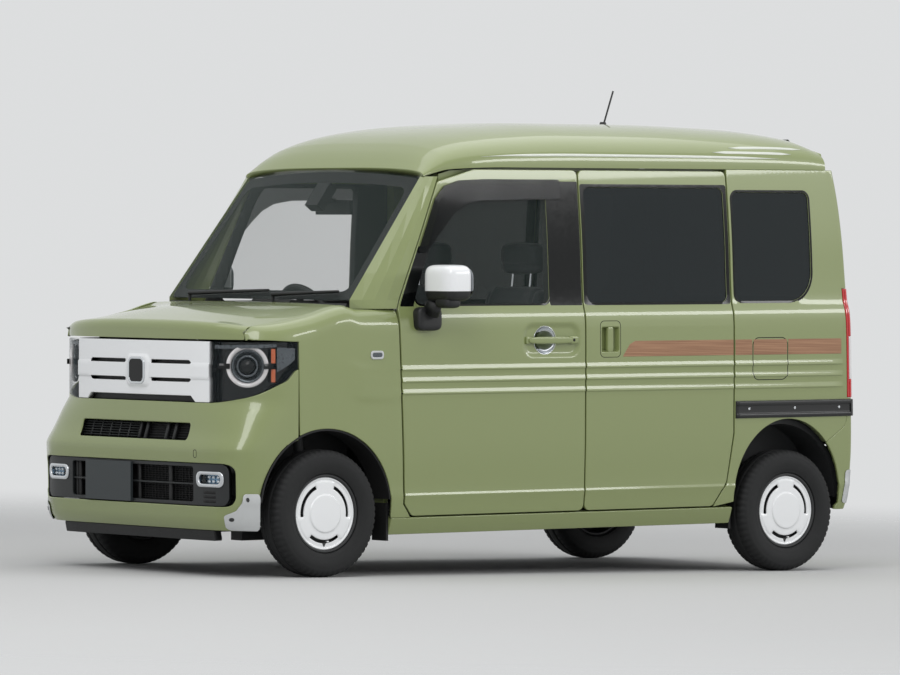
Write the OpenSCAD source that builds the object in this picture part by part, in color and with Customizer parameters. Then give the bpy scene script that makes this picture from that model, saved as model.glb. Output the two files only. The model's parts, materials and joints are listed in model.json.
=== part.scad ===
// Kei van with a tall square cabin: hollow cab, hinged front doors, hood and
// tailgate, side doors that slide on rails, steered front wheels, right-hand drive.
// X points forward, Y to the car's left, Z up, in millimetres. The origin is on
// the ground at the middle of the car. Body shapes are drawn from the front axle.

/* [Overall] */
// Distance between the axles
wheelbase = 2520; // [2480:10:2560]
// Front axle to the front bumper
front_overhang = 490; // [475:5:510]
// Rear axle to the tailgate
rear_overhang = 385; // [375:5:400]
// Width of the body over the side ribs
body_width = 1475; // [1465:1:1490]
// Nose-down attitude of the body on its springs, in degrees
rake = 1.15; // [0.8:0.05:1.4]

/* [Wheels] */
// Distance between the middles of the two tyres of an axle
track = 1310; // [1300:2:1314]
// Outside diameter of a tyre under load
tyre_d = 530; // [520:2:540]
// Width of a tyre
tyre_w = 145; // [135:1:150]
// Outside diameter of the rim
rim_d = 330; // [310:2:350]
// Diameter of the hub bore
hub_bore_d = 56; // [50:1:60]
// Radius of the wheel arch cut
arch_r = 340; // [330:1:350]
// Radial clearance of a turning fit
fit = 0.3; // [0.2:0.05:0.5]

/* [Heights of the body lines] */
// Underside of the sill
sill_z = 165; // [155:1:175]
// Lower edge of the side doors
door_bottom_z = 244; // [238:1:250]
// Crease low on the doors
crease_z = 336; // [326:1:346]
// Middle of the lowest of the three side ribs
rib_z = 770; // [760:1:780]
// Spacing of the side ribs
rib_pitch = 50; // [46:1:54]
// How far a rib stands proud
rib_rise = 4.5; // [3:0.5:6]
// Waist line under the windows
belt_z = 1112; // [1100:1:1120]
// Lower edge of the side glass
glass_low_z = 1130; // [1124:1:1140]
// Upper edge of the side glass
glass_top_z = 1624; // [1600:1:1640]
// Lower edge of the roof panel at its gutter
gutter_z = 1706; // [1700:1:1716]
// Top of the roof
roof_z = 1905; // [1885:1:1925]

/* [Side panels] */
// Leading edge of the front door at the waist, behind the front axle
door_front = 376; // [366:1:386]
// Trailing edge of the front door
door_rear = 1372; // [1362:1:1382]
// Trailing edge of the sliding door
slide_rear = 2203; // [2190:1:2215]
// Gap round a panel that moves
panel_gap = 7; // [6:0.5:9]
// Gap between panels that are fixed together
seam = 0.4; // [0.2:0.1:0.8]
// Thickness of a door below the waist
door_wall = 62; // [55:1:70]
// Thickness of a door beside the glass
frame_wall = 36; // [30:1:42]
// Thickness of a glass pane
glass_t = 6; // [4:0.5:8]

/* [Nose] */
// Front edge of the hood above the ground
hood_edge_z = 985; // [978:1:992]
// Lower edge of the grille and lamps
grille_low_z = 726; // [716:1:736]
// Half width of the grille
grille_half = 474; // [460:1:490]
// Lower edge of the front bumper
bumper_low_z = 200; // [190:1:215]
// Thickness of the bumper and fender skins
skin = 14; // [10:1:18]

/* [Joints] */
// Kingpin to the middle of the car
kingpin_y = 590; // [580:1:600]
// Radius of the hood and tailgate hinge pins
pin_r = 6; // [5:0.5:7]
// Radius of the door hinge pins
door_pin_r = 4; // [3.5:0.5:4.5]

/* [Hidden] */
$fn = 64;

// Where the front axle lies, so that the raked body is centred on the origin
mid_z = 460;
axle_x = (wheelbase + rear_overhang - front_overhang) / 2 - mid_z * sin(rake);
hub_z = tyre_d / 2;
base_y = body_width / 2 - rib_rise;
rear_end = -(wheelbase + rear_overhang);
rear_axle_x = -wheelbase;

// Interpolation: a smooth curve through [place, value] rows, never overshooting
function clamp(v, lo, hi) = min(max(v, lo), hi);
function mix(a, b, t) = a + (b - a) * t;
function ramp(v, a, b) =
    let (t = clamp((v - a) / (b - a), 0, 1))
    t * t * (3 - 2 * t);
function rise(tab, i) = (tab[i + 1][1] - tab[i][1]) / (tab[i + 1][0] - tab[i][0]);
function blend_rise(a, b) = a * b <= 0 ? 0 : 2 * a * b / (a + b);
function tangent(tab, i) =
    i == 0 ? rise(tab, 0) :
    i == len(tab) - 1 ? rise(tab, i - 1) :
    blend_rise(rise(tab, i - 1), rise(tab, i));
function row_of(tab, v, i = 0) = i >= len(tab) - 2 || v < tab[i + 1][0] ? i : row_of(tab, v, i + 1);
function curve(tab, v) =
    let (u = clamp(v, tab[0][0], tab[len(tab) - 1][0]),
         i = row_of(tab, u),
         h = tab[i + 1][0] - tab[i][0],
         t = (u - tab[i][0]) / h)
    (1 + 2 * t) * pow(1 - t, 2) * tab[i][1] + t * pow(1 - t, 2) * h * tangent(tab, i)
    + t * t * (3 - 2 * t) * tab[i + 1][1] - t * t * (1 - t) * h * tangent(tab, i + 1);
function steps(a, b, n) = [for (i = [0:n]) mix(a, b, i / n)];
function lobe(v, n) = pow(max(1 - pow(abs(v), n), 0), 1 / n);

// Body side: rows of [height, how far in from the widest plane]
side_inset = [
    [sill_z, 41], [sill_z + 35, 27], [door_bottom_z, 17], [crease_z - 8, 11], [crease_z + 8, 5],
    [560, 0.5], [900, 0], [belt_z - 92, 1], [belt_z - 37, 5], [belt_z, 15],
    [glass_low_z, 21], [1400, 37], [glass_top_z, 57], [gutter_z + 8, 67]];
// The three ribs along the side, and where they start and end
rib_half = 17;
rib_front = -40;
rib_rear = rear_end + 90;
rib_fade = 60;
function rib_shape(d) = abs(d) >= rib_half ? 0 : 0.5 + 0.5 * cos(180 * d / rib_half);
function rib(x, z) =
    rib_rise * ramp(x, rib_front, rib_front - rib_fade) * ramp(x, rib_rear, rib_rear + rib_fade)
    * max([for (k = [0:2]) rib_shape(z - rib_z - k * rib_pitch)]);
// The side draws in towards the nose and the tail
nose_draw = 16;
tail_draw = 6;
function draw_in(x) =
    nose_draw * pow(max(min(x, nose_x0) + 300, 0) / 460, 2)
    + tail_draw * pow(max(rear_axle_x + 220 - x, 0) / 560, 2);
function plain_y(x, z) = base_y - curve(side_inset, z) - draw_in(x);
function side_y(x, z) = plain_y(x, z) + rib(x, z);
// Doors and walls are thick below the waist and thin beside the glass
function wall(z) = mix(door_wall, frame_wall, ramp(z, belt_z - 110, belt_z + 10));
side_rows = concat(
    [sill_z, door_bottom_z - 20, door_bottom_z + 40, crease_z - 8, crease_z + 8, 460, 620],
    [for (k = [0:2], d = [-1:1]) rib_z + k * rib_pitch + d * rib_half],
    [960, belt_z - 92, belt_z - 50, belt_z - 25, belt_z, glass_low_z, 1260, 1400, 1520,
     glass_top_z, gutter_z - seam]);

// Closed shell between an outer and an inner grid of points
module patch(outer, inner) {
    n = len(outer);
    m = len(outer[0]);
    k = n * m;
    points = concat([for (r = outer) each r], [for (r = inner) each r]);
    skins = [for (i = [0:n - 2], j = [0:m - 2])
        let (a = i * m + j, b = a + 1, c = a + m, d = c + 1)
        each [[a, b, d], [a, d, c], [a + k, d + k, b + k], [a + k, c + k, d + k]]];
    ends = [for (j = [0:m - 2])
        let (a = j, b = j + 1, c = (n - 1) * m + j, d = c + 1)
        each [[b, a, a + k], [b, a + k, b + k], [c, d, d + k], [c, d + k, c + k]]];
    sides = [for (i = [0:n - 2])
        let (a = i * m, c = a + m, b = a + m - 1, d = b + m)
        each [[a, c, c + k], [a, c + k, a + k], [d, b, b + k], [d, b + k, d + k]]];
    polyhedron(points, concat(skins, ends, sides), convexity = 8);
}

// Left body side between two places along the car
module side_patch(x0, x1, n, rows = side_rows) {
    xs = steps(x0, x1, n);
    patch([for (z = rows) [for (x = xs) [x, side_y(x, z), z]]],
          [for (z = rows) [for (x = xs) [x, plain_y(x, z) - wall(z), z]]]);
}

// Extrudes a side-view outline across the left side
cut_y = [420, body_width / 2 + 60];
module across(y0 = cut_y[0], y1 = cut_y[1]) {
    translate([0, y1, 0]) rotate([90, 0, 0]) linear_extrude(y1 - y0) children();
}
module both() {
    children();
    mirror([0, 1, 0]) children();
}
// Body pieces sit on the raked body, running gear does not
module on_axle() {
    translate([axle_x, 0, 0]) children();
}
module raked() {
    translate([axle_x, 0, 0]) rotate([0, rake, 0]) children();
}
module box(x0, x1, y0, y1, z0, z1) {
    translate([x0, y0, z0]) cube([x1 - x0, y1 - y0, z1 - z0]);
}

// Door outlines in side view
a_pillar = [[-door_front, belt_z + 4], [-door_front - 240, glass_top_z + 20]];
door_lean = 34;
corner_r = 26;
slide_front = door_rear + panel_gap;
door_top_z = gutter_z - panel_gap - 2;
module rounded(r) {
    offset(r) offset(-r) children();
}
module door_outline() {
    rounded(corner_r) polygon([
        [-door_front, belt_z], a_pillar[1], [-door_front - 440, door_top_z],
        [-door_rear, door_top_z], [-door_rear, door_bottom_z],
        [-door_front - door_lean - 40, door_bottom_z], [-door_front - door_lean, door_bottom_z + 50]]);
}
module slide_outline() {
    rounded(corner_r) polygon([
        [-slide_front, door_bottom_z], [-slide_front, door_top_z], [-slide_rear, door_top_z],
        [-slide_rear, 560], [-slide_rear + 35, 350], [-slide_rear + 110, door_bottom_z]]);
}
glass_frame = 22;
pillar_strip = 180;
glass_r = 30;
module door_window() {
    slope = (a_pillar[1] - a_pillar[0]) / (a_pillar[1][1] - a_pillar[0][1]);
    low = a_pillar[0] + slope * (glass_low_z - a_pillar[0][1]);
    top = a_pillar[0] + slope * (glass_top_z - 60 - a_pillar[0][1]);
    rounded(glass_r) polygon([
        low - [78, 0], top - [58, 0], [top[0] - 100, glass_top_z],
        [-door_rear + pillar_strip, glass_top_z], [-door_rear + pillar_strip, glass_low_z]]);
}
module slide_window() {
    rounded(glass_r) polygon([
        [-slide_front - glass_frame, glass_low_z], [-slide_front - glass_frame, glass_top_z],
        [-slide_rear + glass_frame, glass_top_z], [-slide_rear + glass_frame, glass_low_z]]);
}
quarter_front = -slide_rear - panel_gap;
module quarter_window() {
    rounded(glass_r) polygon([
        [quarter_front - glass_frame, glass_low_z + 4], [quarter_front - glass_frame, glass_top_z - 18],
        [rear_axle_x - 152, glass_top_z - 18], [rear_axle_x - 152, glass_low_z + 98],
        [rear_axle_x - 35, glass_low_z + 4]]);
}
// The rear arches are narrower than the front ones
rear_arch = 0.9;
module arch_cut(x, dz = 12) {
    translate([x, 0, hub_z + dz]) rotate([90, 0, 0]) linear_extrude(2 * body_width, center = true)
        scale([x < -wheelbase / 2 ? rear_arch : 1, 1]) circle(r = arch_r);
}

// Glass pane in the side, set in its window with the seam all round
glass_rows = [glass_low_z - 30, 1260, 1400, 1520, glass_top_z + 30];
glass_depth = 3;
module side_pane(x0, x1) {
    xs = steps(x0, x1, 2);
    intersection() {
        patch([for (z = glass_rows) [for (x = xs) [x, plain_y(x, z) - glass_depth, z]]],
              [for (z = glass_rows) [for (x = xs) [x, plain_y(x, z) - glass_depth - glass_t, z]]]);
        across() offset(-seam) children();
    }
}

// Tail: plan curve of the rear face and corner at a height
corner_d = 60;
tail_n = 12;
tail_edge = 606;
rear_inset = [[sill_z, 36], [300, 12], [480, 0], [760, 4], [belt_z, 12], [1500, 36], [gutter_z, 66],
    [1780, 84], [roof_z - 85, 108]];
function tail_x0(z) = rear_end + corner_d + curve(rear_inset, z);
function tail_b(z, w) = plain_y(tail_x0(z), min(z, gutter_z)) - w;
function tail_x(y, z, w = 0) = tail_x0(z) - (corner_d - w) * lobe(y / tail_b(z, w), tail_n);
function tail_y(x, z, w = 0) = tail_b(z, w) * lobe((tail_x0(z) - x) / (corner_d - w), tail_n);
// Points from the inner edge of the corner round to the side
tail_knee = 0.93;
function tail_row(z, w, edge) =
    let (b = tail_b(z, w), xk = tail_x(mix(edge, b, tail_knee), z, w), xm = mix(xk, tail_x0(z), 0.5))
    concat([for (f = [0, 0.4, 0.7, 0.85, tail_knee]) let (y = mix(edge, b, f)) [tail_x(y, z, w), y, z]],
           [[xm, tail_y(xm, z, w), z], [tail_x0(z), b, z]]);
corner_wall = 40;
module quarter_left() {
    rows = concat([sill_top + seam], [for (z = side_rows) if (z > door_bottom_z) z]);
    foot = [for (z = rows) if (z < 640) z];
    difference() {
        union() {
            patch([for (z = rows) concat(tail_row(z, 0, tail_edge + seam),
                    [for (i = [1:4]) let (x = mix(tail_x0(z), quarter_front, i / 4)) [x, side_y(x, z), z]])],
                  [for (z = rows) concat(tail_row(z, corner_wall, tail_edge + seam),
                    [for (i = [1:4]) let (x = mix(tail_x0(z), quarter_front, i / 4))
                        [x, plain_y(x, z) - corner_wall, z]])]);
            // Foot ahead of the arch, down to the sill
            patch([for (z = foot) [for (x = steps(quarter_front, quarter_front + 124, 2)) [x, side_y(x, z), z]]],
                  [for (z = foot) [for (x = steps(quarter_front, quarter_front + 124, 2))
                      [x, plain_y(x, z) - corner_wall, z]]]);
        }
        arch_cut(rear_axle_x);
        across() quarter_window();
        tail_lamp_cut();
        across() slide_outline_gap();
        across() offset(seam) bumper_side();
    }
}
module slide_outline_gap() {
    offset(panel_gap) slide_outline();
}
rear_bumper_top = 486;
// Side of the rear bumper: its seam runs from the arch up to the end of the slide rail
bumper_corner_top = 632;
module bumper_side() {
    rounded(12) polygon([
        [rear_axle_x - 190, 100], [rear_axle_x - 190, 470], [rear_end + 75, 566], [rear_end + 46, 596],
        [rear_end + 42, bumper_corner_top], [rear_end - 60, bumper_corner_top], [rear_end - 60, 100]]);
}
tail_lamp_z = [704, 1185];
lamp_wrap = 44;
module tail_lamp_cut() {
    box(rear_end - 50, rear_end + lamp_wrap, tail_edge + 10, 900, tail_lamp_z[0], tail_lamp_z[1]);
}
module quarters() {
    color("darkkhaki") raked() both() quarter_left();
}
module quarter_glass() {
    color([0.1, 0.12, 0.12]) raked() both()
        side_pane(rear_axle_x - 190, quarter_front) quarter_window();
}
lamp_t = 38;
module tail_lamp() {
    rows = steps(tail_lamp_z[0] + seam, tail_lamp_z[1] - seam, 6);
    intersection() {
        patch([for (z = rows) tail_row(z, 0, tail_edge + 10 + seam)],
              [for (z = rows) tail_row(z, lamp_t, tail_edge + 10 + seam)]);
        box(rear_end - 50, rear_end + lamp_wrap - seam, 0, 900, 0, 2000);
    }
}
module tail_lamps() {
    color("firebrick") raked() both() tail_lamp();
}
module rear_bumper() {
    rows = [210, 235, 300, 400, rear_bumper_top - 14, rear_bumper_top, 560, bumper_corner_top + 6];
    front = rear_axle_x - 180;
    color("darkkhaki") raked() both() difference() {
        intersection() {
            patch([for (z = rows) concat(tail_row(z, 0, 0), [for (i = [1:2])
                    let (x = mix(tail_x0(z), front, i / 2)) [x, plain_y(x, z), z]])],
                  [for (z = rows) concat(tail_row(z, skin, 0), [for (i = [1:2])
                    let (x = mix(tail_x0(z), front, i / 2)) [x, plain_y(x, z) - skin, z]])]);
            across(-1) bumper_side();
        }
        arch_cut(rear_axle_x);
        box(rear_end - 50, rear_end + 300, -1, tail_edge + 10, rear_bumper_top, 700);
    }
}

// Tailgate, from its lower edge up to the rear edge of the roof
gate_x = rear_end + 106;
gate_low_z = rear_bumper_top + panel_gap;
gate_half = tail_edge - panel_gap;
gate_wall = 40;
hinge_z = 1834;
gate_hinge = [gate_x + panel_gap / 2, hinge_z];
gate_hinge_y = 380;
gate_barrel = 40;
strap_z = 1775;
module tailgate_hinges() {
    color("darkkhaki") raked() both()
        translate([gate_hinge[0], gate_hinge_y + gate_barrel / 2, gate_hinge[1]]) rotate([90, 0, 0])
        difference() {
            union() {
                cylinder(r = 10, h = gate_barrel);
                linear_extrude(gate_barrel) polygon([
                    [-2, -6], [-2, 9], [-24, -8], [-28, strap_z + seam - hinge_z], [-12, strap_z + seam - hinge_z],
                    [-7, -24]]);
            }
            translate([0, 0, -1]) cylinder(r = pin_r + fit, h = gate_barrel + 2);
        }
}
module gate_pins() {
    both() translate([gate_hinge[0], gate_hinge_y + 36, gate_hinge[1]]) rotate([90, 0, 0]) {
        cylinder(r = pin_r, h = 72);
        for (h = [0, 58]) translate([0, 0, h]) {
            cylinder(r = 9.6, h = 14);
            linear_extrude(14) polygon([[-2, -6], [44, -24], [44, -6], [2, 9]]);
        }
    }
}
function gate_top(y) = roof_height(gate_x + panel_gap, y) - 4;
module tailgate_skin() {
    ys = steps(-gate_half, gate_half, 11);
    vs = [0, 0.06, 0.12, 0.25, 0.45, 0.65, 0.9, 0.96, 1];
    patch([for (v = vs) [for (y = ys) let (z = mix(gate_low_z, gate_top(y), v)) [tail_x(y, z), y, z]]],
          [for (v = vs) [for (y = ys) let (z = mix(gate_low_z, gate_top(y) - gate_wall, v))
            [tail_x(y, z) + gate_wall * (1 - 0.75 * ramp(v, 0.8, 1)), y, z]]]);
}
gate_glass_half = 520;
gate_glass_z = [1150, 1640];
module gate_window() {
    rounded(60) polygon([
        [-gate_glass_half, gate_glass_z[0]], [gate_glass_half, gate_glass_z[0]],
        [gate_glass_half - 25, gate_glass_z[1]], [-gate_glass_half + 25, gate_glass_z[1]]]);
}
module gate_prism() {
    translate([rear_end - 60, 0, 0]) rotate([90, 0, 90]) linear_extrude(260) children();
}
module tailgate() {
    color("darkkhaki") raked() {
        difference() {
            tailgate_skin();
            gate_prism() gate_window();
            both() box(gate_x - 80, gate_x + 40, gate_hinge_y - gate_barrel / 2 - seam,
                gate_hinge_y + gate_barrel / 2 + seam, strap_z, roof_z);
        }
    }
}
module tailgate_glass() {
    ys = steps(-gate_half, gate_half, 6);
    zs = steps(gate_glass_z[0] - 20, gate_glass_z[1] + 20, 4);
    color([0.1, 0.12, 0.12]) raked() intersection() {
        patch([for (z = zs) [for (y = ys) [tail_x(y, z) + glass_depth, y, z]]],
              [for (z = zs) [for (y = ys) [tail_x(y, z) + glass_depth + glass_t, y, z]]]);
        gate_prism() offset(-seam) gate_window();
    }
}

// Roof: rows of [place along the car, height] at the middle and at the gutter
roof_mid = [[gate_x + panel_gap, roof_z - 75], [-2700, roof_z - 40], [-2400, roof_z - 12],
    [-1900, roof_z], [-1400, roof_z], [-1050, roof_z - 16], [-850, roof_z - 42], [-720, roof_z - 78],
    [-630, roof_z - 135], [-572, roof_z - 200]];
gutter_line = [[gate_x, gutter_z], [-2500, gutter_z], [-1000, gutter_z], [-720, gutter_z - 8],
    [-572, gutter_z - 40]];
roof_n = 3;
roof_wall = 34;
gutter_rim = 50;
gutter_step = 4;
roof_front_x = -572;
function roof_half(x) = side_y(x, gutter_z) - gutter_step - 30 * ramp(x, -900, roof_front_x);
function gutter_h(x) = curve(gutter_line, x);
function roof_lift(x, y, w = 0) =
    (curve(roof_mid, x) - w - gutter_h(x)) * lobe(y / roof_half(x), roof_n);
function roof_height(x, y) = gutter_h(x) + roof_lift(x, y);
module roof() {
    xs = [gate_x + panel_gap, -2740, -2600, -2300, -1900, -1400, -1050, -850, -720, -660, -610,
        roof_front_x];
    half = [0, 0.35, 0.6, 0.78, 0.9, 0.965, 0.993, 1];
    vs = concat([for (i = [len(half) - 1:-1:1]) -half[i]], half);
    color("darkkhaki") raked() {
        patch([for (x = xs) [for (v = vs)
                let (y = v * roof_half(x)) [x, y, roof_height(x, y)]]],
              [for (x = xs) [for (v = vs)
                [x, v * (roof_half(x) - gutter_rim), gutter_h(x) + roof_lift(x, v * roof_half(x), roof_wall)]]]);
        gate_pins();
    }
}

// Windshield: lower and upper edge, each [x, half width, z], bowed forward
shield_low = [-176, 646, 1149];
shield_top = [roof_front_x - 2, 612, 1668];
shield_bow = 18;
shield_crown = 30;
shield_t = 7;
function shield(u, v, w = 0) =
    [mix(shield_low[0], shield_top[0], v) + shield_bow * (1 - u * u) - w * 0.8,
     u * mix(shield_low[1], shield_top[1], v),
     mix(shield_low[2], shield_top[2], v) + v * shield_crown * (1 - u * u) - w * 0.6];
module windshield() {
    us = steps(-1, 1, 8);
    vs = steps(0, 0.99, 4);
    color([0.6, 0.7, 0.7]) raked()
        patch([for (v = vs) [for (i = [len(us) - 1:-1:0]) shield(us[i], v)]],
              [for (v = vs) [for (i = [len(us) - 1:-1:0]) shield(us[i], v, shield_t)]]);
}

// Front pillars from the fender to the roof, roof rails and hinge posts
pillar_wall = 40;
function pillar_door_x(z) = mix(a_pillar[0][0], a_pillar[1][0],
    (z - a_pillar[0][1]) / (a_pillar[1][1] - a_pillar[0][1]));
function pillar_point(z, t, w) =
    let (v = clamp((z - shield_low[2]) / (shield_top[2] - shield_low[2]), 0, 1),
         edge = shield(1, v),
         xd = pillar_door_x(z) + panel_gap,
         yd = plain_y(xd, z),
         bulge = 14 * 4 * t * (1 - t))
    [mix(xd, edge[0], t) + bulge * 0.5 - w * t,
     mix(yd, edge[1] + seam, t) + bulge * 0.85 - w * (1 - t), z];
module front_pillar() {
    rows = [belt_z, shield_low[2], 1260, 1400, 1520, glass_top_z, gutter_h(roof_front_x) - seam];
    ts = steps(0, 1, 4);
    patch([for (z = rows) [for (t = ts) pillar_point(z, t, 0)]],
          [for (z = rows) [for (t = ts) pillar_point(z, t, pillar_wall)]]);
}
rail_y = [578, 624];
rail_z = gutter_z - 66;
post_x = [-366, -344];
post_y = [600, 664];
// Door hinges: their axis lies just inside the fender and leans with the door's front edge
barrel_r = door_pin_r + 3;
barrel_h = 60;
hinge_y = base_y - barrel_r - 6;
hinge_ahead = 31;
door_hinge_z = [520, 890];
hinge_lean = atan2(door_lean, belt_z - door_bottom_z - 50);
function hinge_x(z) = -door_front + hinge_ahead - (belt_z - z) * tan(hinge_lean);
module at_hinges() {
    for (z = door_hinge_z) translate([hinge_x(z), hinge_y, z]) rotate([0, hinge_lean, 0]) children();
}
module rail() {
    across(rail_y[0], rail_y[1]) polygon([
        [-2300, rail_z], [-2300, gutter_z - seam], [-1060, gutter_z - seam], [-850, gutter_z - 6],
        [-720, gutter_z - 14],
        [-660, gutter_z - 30], [-660, gutter_z - 70], [-760, rail_z]]);
}
module hinge_post() {
    box(post_x[0], post_x[1], post_y[0], post_y[1], sill_top + seam, belt_z + 1);
    at_hinges() {
        translate([0, 0, -8]) cylinder(r = door_pin_r, h = barrel_h + 16);
        for (dz = [-12, barrel_h + 2]) translate([0, 0, dz]) {
            cylinder(r = barrel_r, h = 10);
            box(-barrel_r, 24, post_y[1] - 20 - hinge_y, 0, 0, 10);
        }
    }
}
module center_post() {
    box(-door_rear - 30, -door_rear + 30, rail_y[0], rail_y[1], 250, rail_z);
}
module pillar_rails() {
    color("darkkhaki") raked() {
        both() {
            front_pillar();
            rail();
            hinge_post();
        }
        mirror([0, 1, 0]) center_post();
    }
}

// Front doors: shell, hinge barrels on arms that pass behind the fender, and pull handle
module hinge_barrels() {
    at_hinges() difference() {
        union() {
            cylinder(r = barrel_r, h = barrel_h);
            linear_extrude(barrel_h) polygon([
                [barrel_r, 0], [barrel_r, -42], [-hinge_ahead - 54, -42], [-hinge_ahead - 54, -31],
                [-4, -31], [-4, 0]]);
        }
        translate([0, 0, -1]) cylinder(r = door_pin_r + fit, h = barrel_h + 2);
    }
}
// Space inside the fender for the hinges
module hinge_space() {
    for (z = door_hinge_z) let (x = hinge_x(z))
        box(x - 60, x + 40, 400, hinge_y + barrel_r + 1.5, z - 22, z + barrel_h + 22);
}
handle_x = -door_rear + 183;
handle_z = 973;
handle_size = [312, 150];
cup_x = handle_x + 33;
cup_r = 62;
module handle_pocket(x, w, z, h, depth, r = 14) {
    translate([x, plain_y(x, z) + 20, z]) rotate([90, 0, 0]) linear_extrude(depth + 20)
        rounded(r) square([w, h], center = true);
}
module front_door() {
    bar_y = plain_y(handle_x, handle_z);
    color("darkkhaki") raked() {
        difference() {
            union() {
                intersection() {
                    side_patch(-door_rear - 20, -door_front + 20, 6);
                    across() door_outline();
                }
                hinge_barrels();
            }
            across() door_window();
            handle_pocket(handle_x, handle_size[0], handle_z, handle_size[1], 8, 56);
            translate([cup_x, bar_y - 32, handle_z]) rotate([-90, 0, 0]) cylinder(r = cup_r, h = 60);
        }
        box(handle_x - 138, handle_x + 138, bar_y - 12, bar_y + 3, handle_z - 17, handle_z + 17);
    }
}
module door_left() {
    front_door();
}
module door_right() {
    mirror([0, 1, 0]) front_door();
}
module door_pane() {
    color([0.5, 0.6, 0.6]) raked() side_pane(-door_rear + 100, -door_front) door_window();
}
module door_glass_left() {
    door_pane();
}
module door_glass_right() {
    mirror([0, 1, 0]) door_pane();
}
// Door mirror: a stalk from the door's front corner and a rounded housing
mirror_at = [-door_front - 161, 850, 1218];
mirror_size = [140, 200, 156];
mirror_r = 34;
module mirror_body() {
    foot_y = plain_y(-door_front - 60, belt_z - 100) + seam;
    color("white") raked() {
        translate(mirror_at) hull() for (dz = [-1, 1], dy = [-1, 1])
            translate([dy * 20, dy * (mirror_size[1] / 2 - mirror_r), dz * (mirror_size[2] / 2 - mirror_r)])
                rotate([0, 90, 0]) cylinder(r1 = mirror_r, r2 = mirror_r - 14, h = mirror_size[0] - 40, $fn = 24);
        hull() {
            translate(mirror_at + [34, -60, -mirror_size[2] / 2 + 10]) cylinder(r = 24, h = 10, $fn = 24);
            box(-door_front - 130, -door_front - 30, foot_y, foot_y + 12, belt_z - 100, belt_z - 30);
        }
    }
}
module mirror_left() {
    mirror_body();
}
module mirror_right() {
    mirror([0, 1, 0]) mirror_body();
}

// Rain visor along the pillar and the top of the front window
visor_t = [0.6, 11];
module visor_outline() {
    rounded(8) polygon([
        [-488, 1345], [-592, 1572], [-644, 1626], [-724, 1650], [-860, 1656], [-1268, 1656], [-1268, 1572],
        [-860, 1566], [-768, 1552], [-704, 1520], [-650, 1470], [-536, 1345]]);
}
module visor() {
    zs = [1330, 1400, 1520, glass_top_z, 1670];
    xs = steps(-1280, -470, 4);
    color([0.15, 0.16, 0.16]) raked() intersection() {
        patch([for (z = zs) [for (x = xs) [x, plain_y(x, z) + visor_t[1], z]]],
              [for (z = zs) [for (x = xs) [x, plain_y(x, z) + visor_t[0], z]]]);
        across() visor_outline();
    }
}
module visor_left() {
    visor();
}
module visor_right() {
    mirror([0, 1, 0]) visor();
}

// Sliding doors with their glass, and the rails behind them
slide_handle_x = -slide_front - 132;
slide_handle_z = 975;
module slide_door() {
    difference() {
        intersection() {
            side_patch(-slide_rear - 10, -slide_front + 10, 5);
            across() slide_outline();
        }
        across() slide_window();
        handle_pocket(slide_handle_x, 116, slide_handle_z, 158, 22);
    }
    // Lower roller arm that runs in the sill
    box(-slide_front - 140, -slide_front - 60, 640, 690, sill_top + seam, door_bottom_z + 30);
}
module slide_doors() {
    color("darkkhaki") raked() both() slide_door();
}
module slide_glass() {
    color([0.1, 0.12, 0.12]) raked() both() side_pane(-slide_rear, -slide_front) slide_window();
}
rail_mid_z = 666;
rail_h = 66;
module slide_rails() {
    x1 = quarter_front - 4;
    xt = tail_x0(rail_mid_z);
    xs = concat([for (d = [14, 22, 34, 48]) rear_end + d], steps(xt, x1, 4));
    zs = [rail_mid_z - rail_h / 2, rail_mid_z - rail_h / 2 + 8, rail_mid_z + rail_h / 2 - 8,
        rail_mid_z + rail_h / 2];
    proud = [4, 8, 8, 4];
    function rail_surface(x, z) = x >= tail_x0(z) ? plain_y(x, z) : tail_y(x, z);
    color("dimgray") raked() both()
        patch([for (i = [0:3]) [for (x = xs) [x, rail_surface(x, zs[i]) + proud[i], zs[i]]]],
              [for (z = zs) [for (x = xs) [x, rail_surface(x, z) + (x > xt ? seam : 1.2), z]]]);
}

// Floor, sills and wheel houses
sill_top = door_bottom_z - panel_gap;
floor_z = 262;
floor_t = 40;
deck_z = 500;
deck_x = -1180;
floor_front = -336;
house_in = 480;
house_out = 672;
beam_y = 380;
beam_z = 345;
hanger_x = rear_axle_x + 420;
module floor_pan() {
    half = rail_y[0] - seam;
    color("dimgray") raked() difference() {
        union() {
            box(deck_x, floor_front, -half, half, floor_z - floor_t, floor_z);
            box(deck_x - 24, deck_x, -half, half, floor_z - floor_t, deck_z);
            box(rear_end + 70, deck_x, -half, half, deck_z - floor_t, deck_z);
        }
        for (x = tie_x, s = [-1, 1]) translate([x, s * tie_y, deck_z - floor_t - 1])
            cylinder(r = tie_r, h = floor_t + 2);
        both() translate([rear_axle_x, house_in - seam, hub_z + 12]) rotate([-90, 0, 0])
            cylinder(r = arch_r, h = 300);
    }
}
// Beams under the floor and the hangers of the rear axle
module floor_beams() {
    color("dimgray") raked() both() {
        box(deck_x, floor_front, beam_y - 40, beam_y + 40, 190, floor_z - floor_t - seam / 2);
        box(rear_end + 130, deck_x - 24, beam_y - 40, beam_y + 40, beam_z, deck_z - floor_t - seam / 2);
        box(hanger_x - 30, hanger_x + 30, beam_y - 40, beam_y + 40, 180, beam_z + 1);
    }
}
// Tie-down holes in the load deck
tie_x = [-1560, rear_end + 145];
tie_y = 250;
tie_r = 5.5;
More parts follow.
